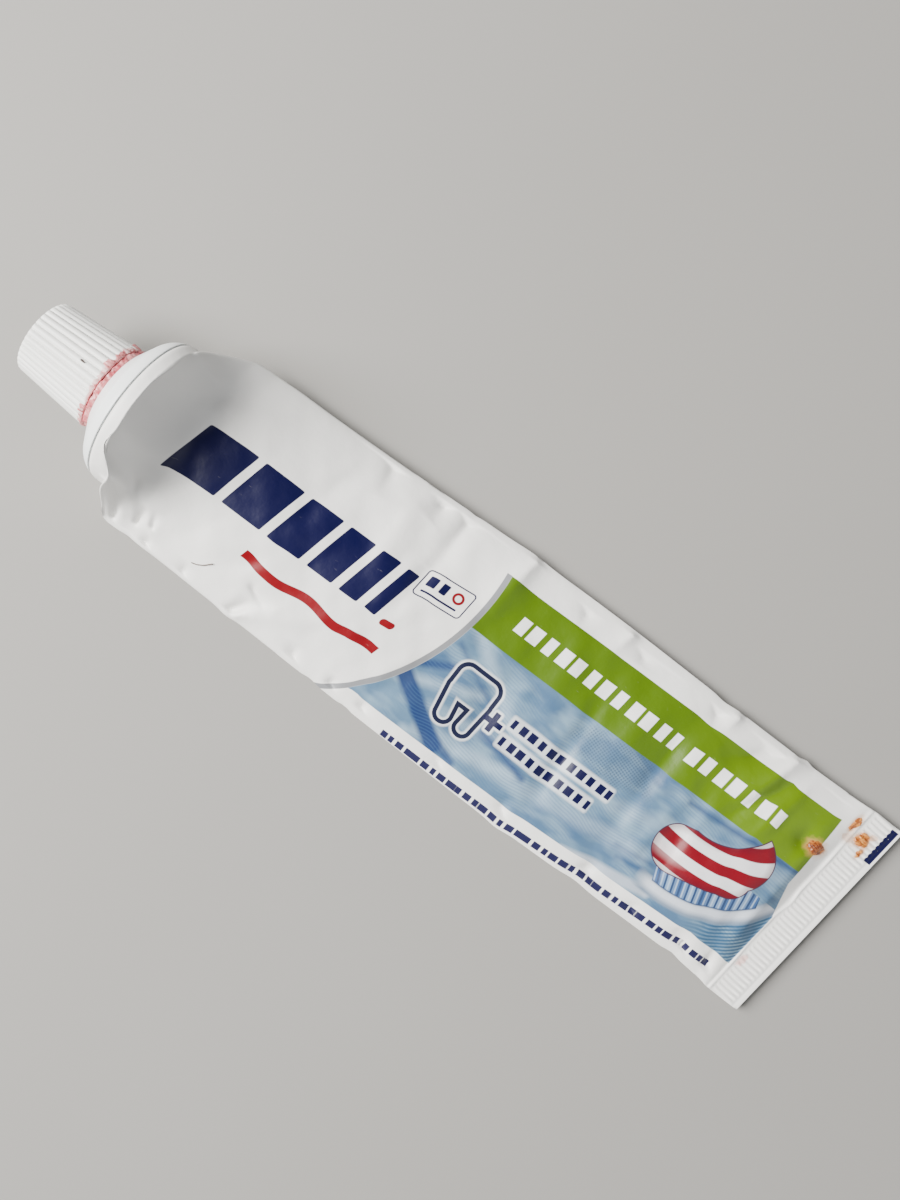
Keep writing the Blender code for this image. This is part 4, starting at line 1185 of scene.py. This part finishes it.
def make_crust():
    """Dried paste packed round the foot of the neck, from the cap's rim to the shoulder: a ring
    with a rounded square section whose lumpy surface wanders in and out."""
    start_x, end_x = CAP_RIM_X + 0.06 * MM, NECK_FOOT_X + 0.06 * MM
    columns, rows = 360, 40
    turn, around = even_turns(columns), even_turns(rows).T
    lump = (0.14 * np.sin(turn * 3.0 + 1.0) + 0.12 * np.sin(turn * 7.0 + 2.0)
            + 0.10 * np.sin(turn * 13.0 + around * 2.0) + 0.08 * np.sin(turn * 29.0 + around * 3.0 + 0.7)
            + 0.05 * np.sin(turn * 47.0 - around * 4.0))
    inner = NECK_RADIUS + 0.3 * MM
    out, side = np.cos(around), np.sin(around)
    out = np.sign(out) * np.abs(out) ** 0.6
    side = np.sign(side) * np.abs(side) ** 0.5
    half_r = ((CRUST_RADIUS + lump) * MM - inner) / 2.0
    r = inner + half_r * (1.0 + out)
    spread = (0.32 + 0.22 * np.sin(turn * 5.0 + 0.6) + 0.12 * np.sin(turn * 19.0)) * MM
    reach = np.clip((r - 7.4 * MM) / (1.2 * MM), 0.0, 1.0) * np.maximum(spread, 0.0)
    x = (start_x + end_x) / 2.0 + (end_x - start_x) / 2.0 * side + np.where(side > 0.0, reach * side, 0.0)
    points = about_axis(x, r, turn).reshape(-1, 3)
    material = paste_material("dried_pink_paste", (0.68, 0.28, 0.28), (0.45, 0.07, 0.09), 0.4, 600.0)
    crust = add_piece("dried_crust", points, torus_faces(rows, columns), material, sharp=80.0)
    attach(crust, "tube")
    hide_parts("dried_paste_ring")


def make_floor():
    """Large flat sheet under the object, a stage and not a part of it."""
    half = 2.5
    points = np.array(((-half, -half, 0.0), (half, -half, 0.0), (half, half, 0.0), (-half, half, 0.0)))
    mesh = bpy.data.meshes.new("floor")
    mesh.from_pydata(points.tolist(), [], [(0, 1, 2, 3)])
    mesh.materials.append(floor_material())
    item = bpy.data.objects.new("floor", mesh)
    bpy.context.scene.collection.objects.link(item)


def make_light(name, toward, distance, size, power, colour):
    """Square soft light that shines on the object from a direction."""
    data = bpy.data.lights.new(name, "AREA")
    data.shape = "SQUARE"
    data.size = size
    data.energy = power
    data.color = colour
    light = bpy.data.objects.new(name, data)
    place = Vector(toward).normalized() * distance
    light.location = place
    light.rotation_euler = (-place).to_track_quat("-Z", "Y").to_euler()
    bpy.context.scene.collection.objects.link(light)


CAMERA_TURN = 37.145             # degrees that the tube is turned in the view
CAMERA_PLACE = (-4.6 * MM, 6.4 * MM, 229.0 * MM)


def make_camera():
    """Camera looking straight down, turned so that the tube runs down to the right."""
    data = bpy.data.cameras.new("camera")
    data.sensor_width = 36.0
    data.lens = 35.0
    data.clip_start = 0.01
    camera = bpy.data.objects.new("camera", data)
    camera.location = CAMERA_PLACE
    camera.rotation_euler = (0.0, 0.0, math.radians(CAMERA_TURN))
    bpy.context.scene.collection.objects.link(camera)
    bpy.context.scene.camera = camera


def make_lights():
    turn = math.radians(CAMERA_TURN)
    right = Vector((math.cos(turn), math.sin(turn), 0.0))
    up = Vector((-math.sin(turn), math.cos(turn), 0.0))
    window = -1.0 * right + 0.3 * up + Vector((0.0, 0.0, 1.05))
    fill = 0.9 * right - 0.7 * up + Vector((0.0, 0.0, 0.8))
    make_light("window", window, 0.9, 0.6, 34.0, (1.0, 0.985, 0.96))
    make_light("fill", fill, 1.1, 1.0, 4.0, (0.95, 0.97, 1.0))
    world = bpy.data.worlds.new("room")
    world.use_nodes = True
    background = world.node_tree.nodes["Background"]
    background.inputs[0].default_value = (0.93, 0.95, 1.0, 1.0)
    background.inputs[1].default_value = 0.17
    bpy.context.scene.world = world


make_camera()
make_lights()
make_floor()
sheet = make_sleeve()
make_stains(sheet)
make_hair(sheet)
make_cap()
make_rim_smear()
make_shoulder()
make_crust()
dress_cad_nodes()
